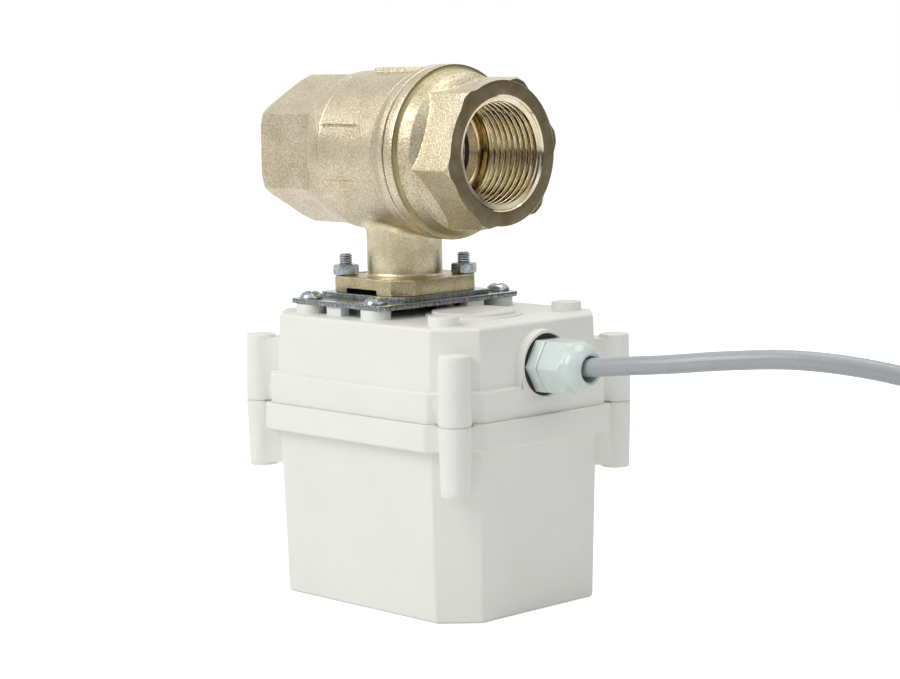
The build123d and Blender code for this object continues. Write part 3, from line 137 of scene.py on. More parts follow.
# Forged brass, shot blasted and nickel plated: a champagne satin whose grain sparkles. The grain is
# drawn 0.42 mm coarse, about twice the real one, so that it shows.
nickel_blasted = finish("nickel_blasted_forging", "E3D8C0", "B0A283", metallic=1.0, rough=0.31,
                        rough_spread=0.1, grain=0.42, blotch=9.0, bump=0.16, mix=0.74)
# The same plating where it went on thinner, on the flange: the brass shows through more
nickel_flange = finish("nickel_thin_on_flange", "D8CDAC", "A89A70", metallic=1.0, rough=0.36,
                       rough_spread=0.08, grain=0.5, blotch=6.0, bump=0.12, mix=0.6)
# The neck was blasted more lightly: paler, with a softer grain
nickel_neck = finish("nickel_blasted_neck", "EDE4C8", "C2B48E", metallic=1.0, rough=0.33,
                     rough_spread=0.09, grain=0.42, blotch=7.0, bump=0.1, mix=0.55)
# The shoulder behind the outlet's hexagon was blasted hardest: duller, without bright spots
nickel_shoulder = finish("nickel_blasted_shoulder", "DDD2B8", "A89A7A", metallic=1.0, rough=0.43,
                         rough_spread=0.1, grain=0.5, blotch=4.0, bump=0.16, mix=0.7)
# Plated over turned brass, on the outlet's face: darker and browner, smooth
nickel_turned = finish("nickel_turned_face", "9D9073", "7A6F55", metallic=1.0, rough=0.3,
                       rough_spread=0.06, grain=0.5, blotch=5.0, mix=0.35)
# The turned step beside the collar: olive brown and satin
nickel_step = finish("nickel_turned_step", "B0A67E", "968B66", metallic=1.0, rough=0.42, grain=0.5)
# Cut threads, plated and never blasted: bright flanks with clear reflections
nickel_thread = finish("nickel_cut_thread", "F4EBD6", "DFD0A8", metallic=1.0, rough=0.11,
                       rough_spread=0.03, grain=0.6, blotch=5.0, bump=0.004, mix=0.4)
# Painted shade inside the narrow slot: the brass darkened almost to black
slot_painted_shade = finish("brass_stained_in_slot", "2C261C", "1D1913", metallic=0.3, rough=0.7, bump=0.02)
# Brass turned, polished and chromed: a nearly clear mirror
ball_polish = finish("chrome_polished_ball", "D8D8D6", "C4C4C2", metallic=1.0, rough=0.09,
                     rough_spread=0.02, grain=0.6, blotch=9.0, bump=0.002)
# PTFE, turned and dull, its colour darkened to near black as painted shade in the mouth
seat_plastic = finish("ptfe_carbon_turned_seat", "33322F", "272624", rough=0.45, grain=0.5)
# Bare brass, turned: yellow, with fine rings round the stem
stem_brass = finish("brass_turned_stem", "D2B673", "B4965A", metallic=1.0, rough=0.25, grain=0.3,
                    bump=0.006, stretch=(1, 1, 6))
# Nitrile rubber, moulded: black and dull
seal_rubber = finish("nitrile_moulded_seal", "2A2B2C", "1B1C1D", rough=0.62, grain=0.35, bump=0.02)
# Steel zinc plated and clear passivated, on the screws: cool grey-blue in soft clouds
zinc_screw = finish("zinc_plated_screw", "BBC4C9", "8B959B", metallic=1.0, rough=0.2,
                    rough_spread=0.07, grain=0.5, blotch=2.2, bump=0.012, mix=0.35)
# The same plating on rolled sheet: paler, with larger clouds
zinc_sheet = finish("zinc_plated_sheet", "D0D4D4", "B2B8BA", metallic=1.0, rough=0.22,
                    rough_spread=0.07, grain=0.45, blotch=5.0, bump=0.02, mix=0.45)
# The sheet's sheared edge, torn over half of its thickness: dark flecks in upright streaks
zinc_edge = finish("zinc_sheared_edge", "B0B3B2", "5E6467", metallic=1.0, rough=0.36,
                   rough_spread=0.1, grain=0.34, blotch=1.5, bump=0.09, stretch=(1, 1, 0.3), mix=0.75)
# Stainless sheet, rolled: grey, with faint lines along the rolling direction
stainless_sheet = finish("stainless_rolled_spacer", "AEB2B3", "8F9495", metallic=1.0, rough=0.3,
                         grain=0.3, stretch=(1, 6, 1))
# ABS moulded in warm white: a faint spark eroded grain and a soft satin shine
case_plastic = finish("abs_moulded_case", "EEEEE9", "EAEAE4", rough=0.42, rough_spread=0.04,
                      grain=0.55, blotch=14.0, bump=0.012, IOR=1.52)
# Polyamide moulded in pale grey-green: smooth and glossy
gland_plastic = finish("polyamide_moulded_gland", "D8E2DF", "CFDAD6", rough=0.14, rough_spread=0.03,
                       grain=0.8, blotch=7.0, bump=0.006, IOR=1.53)
# PVC jacket, extruded: mid grey and satin
jacket_pvc = finish("pvc_extruded_jacket", "A9ADAF", "A1A5A8", rough=0.3, grain=0.7, blotch=11.0,
                    IOR=1.54)
# PVC core insulation, extruded: plain brown, blue and black, satin
core_pvc = finish("pvc_core_insulation_brown", "7E4A33", "6F402B", bump=0.005)
core_blue = finish("pvc_core_insulation_blue", "2F5E9E", "294F88", bump=0.005)
core_black = finish("pvc_core_insulation_black", "26272A", "1D1E20", bump=0.005)
# Steel, ground: bright, with a grain too fine to see
shaft_steel = finish("steel_ground_shaft", "B9BBBC", "9FA2A4", metallic=1.0, rough=0.22, grain=0.25,
                     bump=0.004)
# Bronze, sintered: brown, open pored and dull, its colour darkened further as painted shade where it shows
# under the plate
bush_bronze = finish("bronze_sintered_bush", "857660", "6A5C49", metallic=1.0, rough=0.48, grain=0.35,
                     bump=0.03)
# Gears, hobbed from steel and from brass: a satin with the cutter's fine marks
gear_steel = finish("steel_hobbed_gear", "A6A9AB", "85898C", metallic=1.0, rough=0.33)
gear_brass = finish("brass_hobbed_gear", "D3B468", "B6954B", metallic=1.0, rough=0.28, bump=0.008)
# The motor's can, deep drawn and zinc plated: an even silver grey
motor_zinc = finish("zinc_drawn_motor_can", "B5BABC", "9BA1A4", metallic=1.0, rough=0.3, grain=0.6)
# Acetal in its natural cream, and dyed red: a waxy shine
cam_plastic = finish("acetal_moulded_cam", "E4D9A8", "DBCF9B", rough=0.35, grain=0.5, bump=0.006)
button_plastic = finish("acetal_moulded_button", "B93B30", "A8342A", rough=0.35, bump=0.005)
# Polyester with glass fibres, moulded: black and dull
switch_plastic = finish("polyester_moulded_switch", "2E2F31", "262729", rough=0.45)
# Epoxy and glass laminate under green lacquer: glossy
board_laminate = finish("epoxy_glass_board", "2F6B3D", "275C34", rough=0.3, grain=0.6, bump=0.006)
# Polyamide terminals and the relay's polyester cover: green and blue, satin
terminal_plastic = finish("polyamide_terminal_block", "2E7F58", "28704D", grain=0.5)
relay_plastic = finish("polyester_relay_cover", "2B5FA8", "275697", rough=0.3, grain=0.5, bump=0.005)
# PVC shrunk over the capacitor: near black and glossy
capacitor_sleeve = finish("pvc_shrunk_sleeve", "23272C", "1B1F24", rough=0.28, grain=0.5, bump=0.006)

of_slot = {
    "nickel_body": nickel_blasted, "nickel_cap": nickel_blasted, "polished_ball": ball_polish,
    "seat_plastic": seat_plastic, "stem_brass": stem_brass, "seal_rubber": seal_rubber,
    "zinc_screw": zinc_screw, "zinc_plate": zinc_sheet, "stainless_plate": stainless_sheet,
    "case_plastic": case_plastic, "plug_plastic": case_plastic, "shaft_steel": shaft_steel,
    "bush_bronze": bush_bronze, "gear_steel": gear_steel, "gear_brass": gear_brass,
    "motor_can": motor_zinc, "cam_plastic": cam_plastic, "switch_plastic": switch_plastic,
    "button_plastic": button_plastic, "board_laminate": board_laminate,
    "terminal_plastic": terminal_plastic, "relay_plastic": relay_plastic,
    "capacitor_sleeve": capacitor_sleeve, "gland_plastic": gland_plastic,
    "cable_jacket": jacket_pvc, "core_insulation": core_pvc,
}
for part in frame["record"]["subparts"]:
    carried = nodes[part["node"]].data
    carried.materials.clear()
    carried.materials.append(of_slot[part["material_slot"]])


# Cable: one grey jacketed lead out of the gland, over the table and into its coil behind the view

route = [
    (71.0, 0.5, 73.2), (78.0, 0.5, 73.9), (90.0, 0.9, 75.3), (104.0, 2.2, 76.7), (121.0, 5.6, 78.9),
    (143.0, 13.9, 80.3), (166.0, 28.0, 76.2), (181.4, 37.3, 69.5), (193.4, 44.5, 56.0),
    (202.1, 49.3, 38.0), (209.4, 52.6, 20.5), (220.1, 55.3, 8.0), (234.0, 54.1, 2.75),
    (246.4, 47.5, 2.75), (251.17, 44.96, 2.75),
]
# The coil winds inwards on the table, steps up half a turn and winds outwards as a second layer
coil_centre = (234.74, 14.06)
coil_start = radians(62)
coil_turns = 4.25
inward_turns = 2.25
coil_points = 14  # in each turn
coil_r, wind_step = 35.0, 6.0
table_layer, layer_step = 2.75, 5.9
for step in range(1, round(coil_turns * coil_points) + 1):
    turns = step / coil_points
    reach = coil_r - wind_step * min(turns, inward_turns) + wind_step * max(0.0, turns - inward_turns)
    height = table_layer + layer_step * min(max((turns - 2.0) / 0.5, 0.0), 1.0)
    across = coil_start - turn * turns
    route.append((coil_centre[0] + reach * cos(across), coil_centre[1] + reach * sin(across), height))
end_way = Vector((sin(coil_start - turn * coil_turns), -cos(coil_start - turn * coil_turns), 0))
route.append(tuple(Vector(route[-1]) + end_way * 5.4))


def tube(name, points, diameter, material):
    """A round tube along one NURBS spline with its control points in mm."""
    curve = bpy.data.curves.new(name, "CURVE")
    curve.dimensions = "3D"
    spline = curve.splines.new("NURBS")
    spline.points.add(len(points) - 1)
    for point, place in zip(spline.points, points):
        point.co = (*(c * MM for c in place), 1.0)
    spline.order_u = 3
    spline.use_endpoint_u = True
    spline.resolution_u = 8
    curve.bevel_depth = diameter / 2 * MM
    curve.bevel_resolution = 8
    curve.use_fill_caps = True
    curve.materials.append(material)
    piece = bpy.data.objects.new(name, curve)
    bpy.context.scene.collection.objects.link(piece)
    return piece


jacket = tube("cable_jacket", route, cable_diameter, jacket_pvc)
inner_jacket = tube("cable_jacket_in_gland", [(x, *gland) for x in (48.5, 60.0, 71.1)], cable_diameter,
                    jacket_pvc)


# Meshes

def settle(name, mesh, material, smooth_angle=35):
    """Merges doubles, turns faces outwards, sets smooth shading with sharp edges, and links the object."""
    form = bmesh.new()
    form.from_mesh(mesh)
    bmesh.ops.remove_doubles(form, verts=form.verts, dist=1e-6)
    bmesh.ops.dissolve_degenerate(form, edges=form.edges, dist=1e-7)
    bmesh.ops.recalc_face_normals(form, faces=form.faces)
    form.to_mesh(mesh)
    form.free()
    mesh.shade_smooth()
    mesh.set_sharp_from_angle(angle=radians(smooth_angle))
    mesh.materials.clear()
    for one in (material if isinstance(material, list) else [material]):
        mesh.materials.append(one)
    piece = bpy.data.objects.new(name, mesh)
    bpy.context.scene.collection.objects.link(piece)
    return piece


def mesh_piece(name, points, faces, material, smooth_angle=35):
    """A settled mesh object from points in mm."""
    mesh = bpy.data.meshes.new(name)
    mesh.from_pydata([tuple(c * MM for c in p) for p in points], [], faces)
    return settle(name, mesh, material, smooth_angle)


def skin(name, rows, material, smooth_angle=35, closed=True):
    """A skin over rings of points, each an (n, 3) array; where closed, the last ring joins the first."""
    rings, count = len(rows), len(rows[0])
    faces = []
    for i in range(rings if closed else rings - 1):
        a, b = i * count, (i + 1) % rings * count
        faces += [(a + j, a + (j + 1) % count, b + (j + 1) % count, b + j) for j in range(count)]
    return mesh_piece(name, np.concatenate(rows), faces, material, smooth_angle)


def plain_mesh(piece):
    """The piece as a mesh, with its modifiers applied and removed."""
    bpy.context.view_layer.update()
    seen = piece.evaluated_get(bpy.context.evaluated_depsgraph_get())
    mesh = bpy.data.meshes.new_from_object(seen)
    if piece.type != "MESH":
        name = piece.name
        bpy.data.objects.remove(piece)
        piece = bpy.data.objects.new(name, mesh)
        bpy.context.scene.collection.objects.link(piece)
    piece.modifiers.clear()
    piece.data = mesh
    return piece


def cut(piece, cutter):
    """Takes the cutter away from the piece."""
    step = piece.modifiers.new("cut", "BOOLEAN")
    step.object, step.operation, step.solver = cutter, "DIFFERENCE", "EXACT"
    plain_mesh(piece)
    bpy.data.objects.remove(cutter)


def round_edges(piece, width, segments, bevel_angle, smooth_angle, clamp=True):
    """Rounds the edges sharper than bevel_angle over a width in mm, and shades the piece smooth."""
    step = piece.modifiers.new("round", "BEVEL")
    step.width, step.segments, step.limit_method = width * MM, segments, "ANGLE"
    step.angle_limit, step.use_clamp_overlap = radians(bevel_angle), clamp
    plain_mesh(piece)
    piece.data.shade_smooth()
    piece.data.set_sharp_from_angle(angle=radians(smooth_angle))


def join(name, *pieces):
    """One object from several that share a body."""
    mesh = bpy.data.meshes.new(name)
    form = bmesh.new()
    materials = []
    for piece in pieces:
        start = len(form.faces)
        form.from_mesh(piece.data)
        form.faces.ensure_lookup_table()
        slots = []
        for one in piece.data.materials:
            if one not in materials:
                materials.append(one)
            slots.append(materials.index(one))
        for face in form.faces[start:]:
            face.material_index = slots[face.material_index]
        bpy.data.objects.remove(piece)
    form.to_mesh(mesh)
    form.free()
    for one in materials:
        mesh.materials.append(one)
    whole = bpy.data.objects.new(name, mesh)
    bpy.context.scene.collection.objects.link(whole)
    return whole


def stands_for(piece, slot, *replaced):
    """Lets the piece ride on the housing in place of CAD nodes, which it hides; slot is not used."""
    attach(piece, "housing")
    if replaced:
        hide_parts(*replaced)


def soften(node, width, material, cutter=None, clamp=True):
    """A copy of a CAD node with its flat faces made whole, cut where asked, and its edges rounded (mm)."""
    mesh = nodes[node].data.copy()
    form = bmesh.new()
    form.from_mesh(mesh)
    bmesh.ops.remove_doubles(form, verts=form.verts, dist=2e-6)
    bmesh.ops.dissolve_limit(form, angle_limit=radians(0.4), verts=form.verts, edges=form.edges,
                             delimit={"NORMAL"})
    form.to_mesh(mesh)
    form.free()
    piece = settle(node + "_softened", mesh, material, 40)
    if cutter:
        cut(piece, cutter)
    round_edges(piece, width, 2, 32, 40, clamp)
    return piece


# Profiles and rings

def smooth_max(a, b, soft):
    return 0.5 * (a + b + np.sqrt((a - b) ** 2 + soft ** 2))


def smooth_min(a, b, soft):
    return 0.5 * (a + b - np.sqrt((a - b) ** 2 + soft ** 2))


def round_angles(count):
    """Even angles round a circle."""
    return np.arange(count) * turn / count


def merged_angles(*groups):
    """Several groups of angles as one rising row, without doubles."""
    return np.unique(np.round(np.concatenate(groups) % turn, 5))


def hexagon(angles, flats, first, crisp):
    """Radius of a hexagon, sharper with more crisp; flats is its width, first the middle of one flat."""
    sides = [np.maximum(np.cos(angles - first - k * pi / 3), 0.1) for k in range(6)]
    return flats / 2 * sum(side ** crisp for side in sides) ** (-1 / crisp)


def window(values, low, high, soft):
    """1 between low and high, 0 outside, with soft steps."""
    rise = np.clip((values - low) / soft + 0.5, 0, 1)
    fall = np.clip((high - values) / soft + 0.5, 0, 1)
    both = np.minimum(rise, fall)
    return both * both * (3 - 2 * both)


def ring(x, radius, angles, centre=(0.0, bore_z)):
    """One row of a skin: points round an axis along X, whose y and z are the centre."""
    across, up = radius * np.cos(angles), radius * np.sin(angles)
    return np.stack([np.full_like(angles, x), centre[0] + across, centre[1] + up], 1)


def upright_ring(z, radius, angles, centre=(0.0, 0.0)):
    """One row of a skin: points round an upright axis, whose x and y are the centre."""
    across, up = radius * np.cos(angles), radius * np.sin(angles)
    return np.stack([centre[0] + across, centre[1] + up, np.full_like(angles, z)], 1)


def upright_rings(profile, angles, centre=(0.0, 0.0)):
    """Rows of a skin turned round an upright axis, from pairs of height and radius."""
    return [upright_ring(z, radius, angles, centre) for z, radius in profile]


hole_angles = round_angles(48)
around = round_angles(96)


def drill(piece, radius, low, high, centre=(0.0, 0.0)):
    """Cuts an upright round hole."""
    profile = [(low, 0.0), (low, radius), (high, radius), (high, 0.0)]
    cut(piece, skin("drill", upright_rings(profile, hole_angles, centre), nickel_blasted, closed=False))


# Valve body: a hexagon end that blends into a round middle with a rim, then a neck and a square flange

# Angles of the rings, closer together at the panel's edges, the top pad's edges and the corners
near_panel = [pi + s * radians(20.4) + np.radians(np.arange(-1.6, 1.7, 0.2)) for s in (-1, 1)]
near_pad = [pi / 2 + s * radians(10.3) + np.radians(np.arange(-1.5, 1.6, 0.5)) for s in (-1, 1)]
near_corner = np.radians([60 * k + off for k in range(6) for off in (-0.9, -0.5, -0.25, 0, 0.25, 0.5, 0.9)])
body_angles = merged_angles(round_angles(300), *near_panel, *near_pad, near_corner + pi / 6)

corner_crisp = 400
body_flats = 40.0
chamfer_r = 21.5  # of the inlet's outer edge, at its face
chamfer_slope = 1.3
rim_x, rim_r = 18.5, 26.05
edge_soft = 0.12
panel_depth, line_depth = 0.12, 0.6
pad_top = 25.2
# How far the section has gone from the hexagon to the round middle
blend_x = [-21.3, -20.4, -19.2, -17.4, -15.0, -12.6]
blend_share = [0.0, 0.32, 0.6, 0.83, 0.94, 1.0]
# The round middle, with the faint turned lines at both ends of it and the rise to the rim
middle_x = [-12.6, -12.05, -11.85, 6.3, 6.5, 12.35, 12.6, 12.85, 13.4, 17.0, 19.2]
middle_r = [24.25, 24.27, 24.19, 24.17, 24.28, 24.34, 24.16, 24.4, 24.45, rim_r, rim_r]


def body_radius(x, angles):
    """Outer radius of the forged body at one x."""
    six = hexagon(angles, body_flats, 0.0, corner_crisp)
    radius = six + (np.interp(x, middle_x, middle_r) - six) * np.interp(x, blend_x, blend_share)
    # On the side that the camera sees, a sunk panel with an engraved line along its upper edge and a
    # fainter one along its lower edge
    side = np.cos(angles) < 0
    up = radius * np.sin(angles)
    panel = window(x, -11.9, 6.4, 0.3) * window(up, -8.35, 8.35, 0.5) * side
    engraved = window(up, 8.1, 8.7, 0.3) + 0.5 * window(up, -8.7, -8.1, 0.3)
    lines = window(x, -10.6, 4.2, 0.4) * engraved * side
    radius = radius - panel_depth * panel - line_depth * lines
    # A flat pad on top
    pad = window(x, -7.1, 17.0, 1.0) * window(radius * np.cos(angles), -4.5, 4.5, 0.8) * (np.sin(angles) > 0)
    raised = pad_top / np.maximum(np.sin(angles), 0.2)
    radius = radius + pad * np.maximum(raised - radius, 0)
    # The inlet's chamfer and the rim's rounded edge
    radius = smooth_min(radius, chamfer_r + (x + face_x) * chamfer_slope, edge_soft)
    return np.minimum(radius, rim_r - 0.4 * np.clip((x - rim_x) / 0.45, 0, 1) ** 2)


# Rings stand 0.65 mm apart, and closer where the radius changes fast
close_x = [
    -43.0, -42.9, -42.6, -42.2, -41.9, -41.6, -21.45, -21.3, -21.15, -20.8, -20.4, -20.0, -19.6, -19.2,
    -18.6, -18.0, -17.4, -16.8, -15.0, -12.6, -12.4, -12.2, -12.05, -11.95, -11.85, -11.7, -10.8, -10.6,
    -10.4, -7.6, -7.3, -6.9, -6.6, 4.0, 4.2, 4.4, 6.2, 6.3, 6.4, 6.5, 6.65, 12.35, 12.48, 12.6, 12.72,
    12.85, 13.4, 17.0, 17.2, 18.5, 18.6, 18.7, 18.8, 18.88, 18.95,
]
body_x = np.unique(np.concatenate([np.arange(-face_x, rim_x, 0.65), close_x]))
outside = [ring(x, body_radius(x, body_angles), body_angles) for x in body_x]
inside = [ring(x, r, body_angles) for x, r in [
    (18.95, 21.05), (10.0, 21.05), (10.0, 19.9), (-11.3, 19.9), (-11.3, 17.5), (-16.2, 17.5), (-16.2, 12.5),
    (-20.05, 12.5), (-20.1, 16.95), (-42.55, 16.95), (-42.56, 16.6), (-42.7, 16.71), (-face_x, 17.06)]]
valve_shell = skin("valve_shell", outside + inside, nickel_blasted, 30)
drill(valve_shell, 8.25, 100.0, 118.0)


def underside(x, y):
    """Height of the body's lower surface over places in plan, found by repeated steps."""
    drop = 24.0
    for _ in range(12):
        angle = np.arctan2(-drop, y)
        radius = np.array([body_radius(a, np.array([b]))[0] for a, b in zip(x, angle)])
        drop = np.sqrt(np.maximum(radius ** 2 - y ** 2, 1.0))
    return bore_z - drop


# Neck: a turned column with a small round at its foot, which flares softly into the body above
neck_angles = round_angles(160)
neck_r = 11.5
foot_r = 1.2
flare = 2.6
neck_low, neck_high = 97.6, 116.0
foot = [upright_ring(flange_top + foot_r * (1 - cos(a)) - 0.15, neck_r + foot_r * (1 - sin(a)), neck_angles)
        for a in np.linspace(0, pi / 2, 6)]
top = underside(neck_r * np.cos(neck_angles), neck_r * np.sin(neck_angles))
wide = neck_r + flare
meet = underside(wide * np.cos(neck_angles), wide * np.sin(neck_angles))
stations = [upright_ring(neck_low + (top - flare - neck_low) * s, neck_r, neck_angles)
            for s in np.linspace(0.1, 1, 6)]
start, corner = stations[-1], upright_ring(top + 0.1, neck_r, neck_angles)
end = upright_ring(meet + 0.12, wide, neck_angles)
flare_rows = [start * (1 - s) ** 2 + corner * 2 * s * (1 - s) + end * s ** 2
              for s in np.linspace(0.125, 1, 8)]
neck_core = upright_rings([(meet + 1.2, wide - 0.4), (neck_high, 8.3), (109.6, 8.3), (109.6, 6.3),
                           (91.6, 6.3), (91.6, neck_r)], neck_angles)
neck = skin("neck", foot + stations + flare_rows + neck_core, nickel_neck, 50)


def prism(name, outline, low, high, material, rounding):
    """An upright prism over an outline, with rounded edges, in mm."""
    count = len(outline)
    points = [(x, y, low) for x, y in outline] + [(x, y, high) for x, y in outline]
    faces = [tuple(range(count))[::-1], tuple(range(count, 2 * count))]
    faces += [(i, (i + 1) % count, count + (i + 1) % count, count + i) for i in range(count)]
    piece = mesh_piece(name, points, faces, material, 30)
    round_edges(piece, rounding, 3, 30, 50)
    return piece


# Flange: a square with its corners cut off, a slot under its front edge and two bolt holes
flange_half = 35.1 / 2
flange_cut = flange_half - 5.1
slot_x, slot_y, slot_z = (-7.3, 6.2), (-20, -12.5), (90.0, 92.95)
octagon = [(flange_cut, -flange_half), (flange_half, -flange_cut), (flange_half, flange_cut),
           (flange_cut, flange_half), (-flange_cut, flange_half), (-flange_half, flange_cut),
           (-flange_half, -flange_cut), (-flange_cut, -flange_half)]
slot_outline = [(slot_x[0], slot_y[0]), (slot_x[1], slot_y[0]), (slot_x[1], slot_y[1]),
                (slot_x[0], slot_y[1])]
flange = prism("flange", octagon, 91.42, flange_top, nickel_flange, 0.5)
cut(flange, prism("slot", slot_outline, *slot_z, nickel_flange, 0.4))
flange.data.shade_smooth()
flange.data.set_sharp_from_angle(angle=radians(50))
flange.data.materials.append(slot_painted_shade)
# The faces inside the slot take the painted shade
for face in flange.data.polygons:
    centre = face.center / MM
    in_plan = slot_x[0] - 0.05 < centre.x < slot_x[1] + 0.05 and -17.5 < centre.y < slot_y[1] + 0.1
    if in_plan and centre.z < slot_z[1] + 0.05:
        face.material_index = 1
for place in bolt_places:
    drill(flange, 2.2, 90.0, 98.0, place)
stands_for(join("valve_body_forging", valve_shell, neck, flange), "nickel_body", "valve_body")


# End cap: collar, turned step, shoulder that the hexagon's flats cut into, and chamfered face

cap_flats = 40.5
cap_first = radians(40.4)
cap_corner = radians(70.4)
hexagon_from = 26.5  # x where the hexagon starts to stand out of the turned shoulder
cap_angles = merged_angles(round_angles(360), near_corner + cap_corner)
shoulder_x = [19.2, 23.2, 23.35, 23.95, 24.15, 27.9, 29.0, 29.8, 30.4, face_x]
shoulder_r = [rim_r, rim_r, 25.0, 24.5, 24.6, 23.5, 22.5, 21.3, 20.0, 19.6]
outlet_r = 22.45  # of the outlet's outer edge, at its face
outlet_slope = 0.6


def cap_radius(x, angles):
    """Outer radius of the end cap behind its collar, at one x."""
    radius = np.full_like(angles, np.interp(x, shoulder_x, shoulder_r))
    if x > hexagon_from:
        radius = smooth_max(hexagon(angles, cap_flats, cap_first, corner_crisp), radius, 0.18)
    return smooth_min(radius, outlet_r + (face_x - x) * outlet_slope, edge_soft)


collar = [(10.0, 19.95), (10.0, 20.7), (10.3, 21.0), (19.4, 21.0), (19.4, 25.6), (19.5, 25.88),
          (19.7, rim_r), (21.2, rim_r), (22.7, rim_r), (23.0, 25.95), (23.15, 25.7), (23.2, 25.4)]
close_x = [23.22, 23.6, 23.9, 24.0, 24.1, 24.3, 27.7, 27.9, 28.1, 28.6, 29.2, 29.8, 30.1, 30.4, 30.6, 41.6,
           42.0, 42.4, 42.7, 42.9, 43.0, face_x]
cap_x = np.unique(np.concatenate([np.arange(23.3, 43.0, 0.5), close_x]))
mouth = [(face_x, 21.3), (43.0, 21.25), (43.0, 17.3), (42.98, 17.06), (42.7, 16.75), (42.56, 16.6),
         (42.55, 16.95), (20.1, 16.95), (20.05, 12.5), (16.2, 12.5), (16.2, 17.45), (11.3, 17.45),
         (11.3, 19.9), (10.0, 19.9)]
cap_rows = [ring(x, r, cap_angles) for x, r in collar]
cap_rows += [ring(x, cap_radius(x, cap_angles), cap_angles) for x in cap_x]
cap_rows += [ring(x, r, cap_angles) for x, r in mouth]
cap_finishes = [nickel_blasted, nickel_turned, nickel_thread, nickel_step, nickel_shoulder]
cap = skin("end_cap_turned", cap_rows, cap_finishes, 30)
for face in cap.data.polygons:
    centre = face.center / MM
    out = (centre.y ** 2 + (centre.z - bore_z) ** 2) ** 0.5
    if centre.x > 42.9 and abs(face.normal.x) > 0.9:
        face.material_index = cap_finishes.index(nickel_turned)
    elif out < 17.2 and centre.x > 12:
        face.material_index = cap_finishes.index(nickel_thread)
    elif 23.15 < centre.x < 24.1 and out > 23:
        face.material_index = cap_finishes.index(nickel_step)
    elif 24.1 < centre.x < 29.0 and out > 22:
        face.material_index = cap_finishes.index(nickel_shoulder)
stands_for(cap, "nickel_cap", "end_cap")


# Cut threads and fasteners, each from a node tree

def new_tree(name, **sizes):
    """An empty geometry node tree with one named input for each size."""
    tree = bpy.data.node_groups.new(name, "GeometryNodeTree")
    kinds = {float: "NodeSocketFloat", int: "NodeSocketInt"}
    for size, value in sizes.items():
        kind = kinds.get(type(value), value)
        socket = tree.interface.new_socket(size.replace("_", " "), in_out="INPUT", socket_type=kind)
        if type(value) in kinds:
            socket.default_value = value
    tree.interface.new_socket("Geometry", in_out="OUTPUT", socket_type="NodeSocketGeometry")
    return tree, tree.nodes.new("NodeGroupInput").outputs


def hand_out(tree, geometry, material):
    """Ends a tree: instances made real, then the material."""
    real = add(tree, "GeometryNodeRealizeInstances", {"Geometry": geometry})
    coated = add(tree, "GeometryNodeSetMaterial", {"Geometry": real, "Material": material})
    add(tree, "NodeGroupOutput", {"Geometry": coated})


def run_tree(name, tree, mesh, material, smooth_angle=35, **sizes):
    """Runs a tree on a mesh and returns a plain object with its result."""
    piece = bpy.data.objects.new(name, mesh)
    bpy.context.scene.collection.objects.link(piece)
    step = piece.modifiers.new("tree", "NODES")
    step.node_group = tree
    sizes["Material"] = material
    for socket in tree.interface.items_tree:
        value = sizes.get(socket.name.replace(" ", "_"))
        if socket.in_out == "INPUT" and value is not None:
            step[socket.identifier] = value
    plain_mesh(piece)
    mesh = piece.data
    bpy.data.objects.remove(piece)
    return settle(name, mesh, material, smooth_angle)


# The tree of a cut thread bends a flat grid, Rows long and Segments round, into a tube along X whose
# wall runs between the radii Valley and Peak. Its last three rows lead back to the start at the radius
# Back, so that the shell is closed. Run in and Run out are the lengths over which the thread fades.
thread_tree, size = new_tree("cut_thread", Length=20.0, Pitch=2.309, Valley=16.6, Peak=15.15, Back=16.9,
                             Run_in=1.6, Run_out=1.0, Rows=200, Segments=96, Material="NodeSocketMaterial")
rows_of_points = add(thread_tree, maths, {0: size["Rows"], 1: 1.0}, operation="ADD")
points_in_row = add(thread_tree, maths, {0: size["Segments"], 1: 1.0}, operation="ADD")
grid = add(thread_tree, "GeometryNodeMeshGrid", {"Size X": 1.0, "Size Y": 1.0, "Vertices X": rows_of_points,
                                                 "Vertices Y": points_in_row})
position = add(thread_tree, "GeometryNodeInputPosition")
spot = add(thread_tree, "ShaderNodeSeparateXYZ", {"Vector": position}).outputs
length_share = add(thread_tree, maths, {0: spot["X"], 1: 0.5}, operation="ADD")
round_share = add(thread_tree, maths, {0: spot["Y"], 1: 0.5}, operation="ADD")
row = add(thread_tree, maths, {0: length_share, 1: size["Rows"]}, operation="MULTIPLY")
row = add(thread_tree, maths, {0: row}, operation="ROUND")
last_row = add(thread_tree, maths, {0: size["Rows"], 1: 3.0}, operation="SUBTRACT")

# How far a row lies along the thread; the closing row is back at the start
share = add(thread_tree, maths, {0: row, 1: last_row}, operation="DIVIDE")
share = add(thread_tree, maths, {0: share, 1: 1.0}, operation="MINIMUM")
closing_from = add(thread_tree, maths, {0: last_row, 1: 1.5}, operation="ADD")
not_closing = add(thread_tree, maths, {0: row, 1: closing_from}, operation="LESS_THAN")
share = add(thread_tree, maths, {0: share, 1: not_closing}, operation="MULTIPLY")
along = add(thread_tree, maths, {0: share, 1: size["Length"]}, operation="MULTIPLY")

# Where a point lies between the middle of a valley, 0, and the middle of a crest, 1
wave = add(thread_tree, maths, {0: along, 1: size["Pitch"]}, operation="DIVIDE")
wave = add(thread_tree, maths, {0: wave, 1: round_share}, operation="ADD")
wave = add(thread_tree, maths, {0: wave}, operation="FRACT")
flank = add(thread_tree, maths, {0: wave, 1: 2.0}, operation="MULTIPLY")
flank = add(thread_tree, maths, {0: flank, 1: 1.0}, operation="SUBTRACT")
flank = add(thread_tree, maths, {0: flank}, operation="ABSOLUTE")
crest = add(thread_tree, "ShaderNodeMapRange", {"Value": flank, "From Min": 0.05, "From Max": 0.5},
            interpolation_type="SMOOTHSTEP")

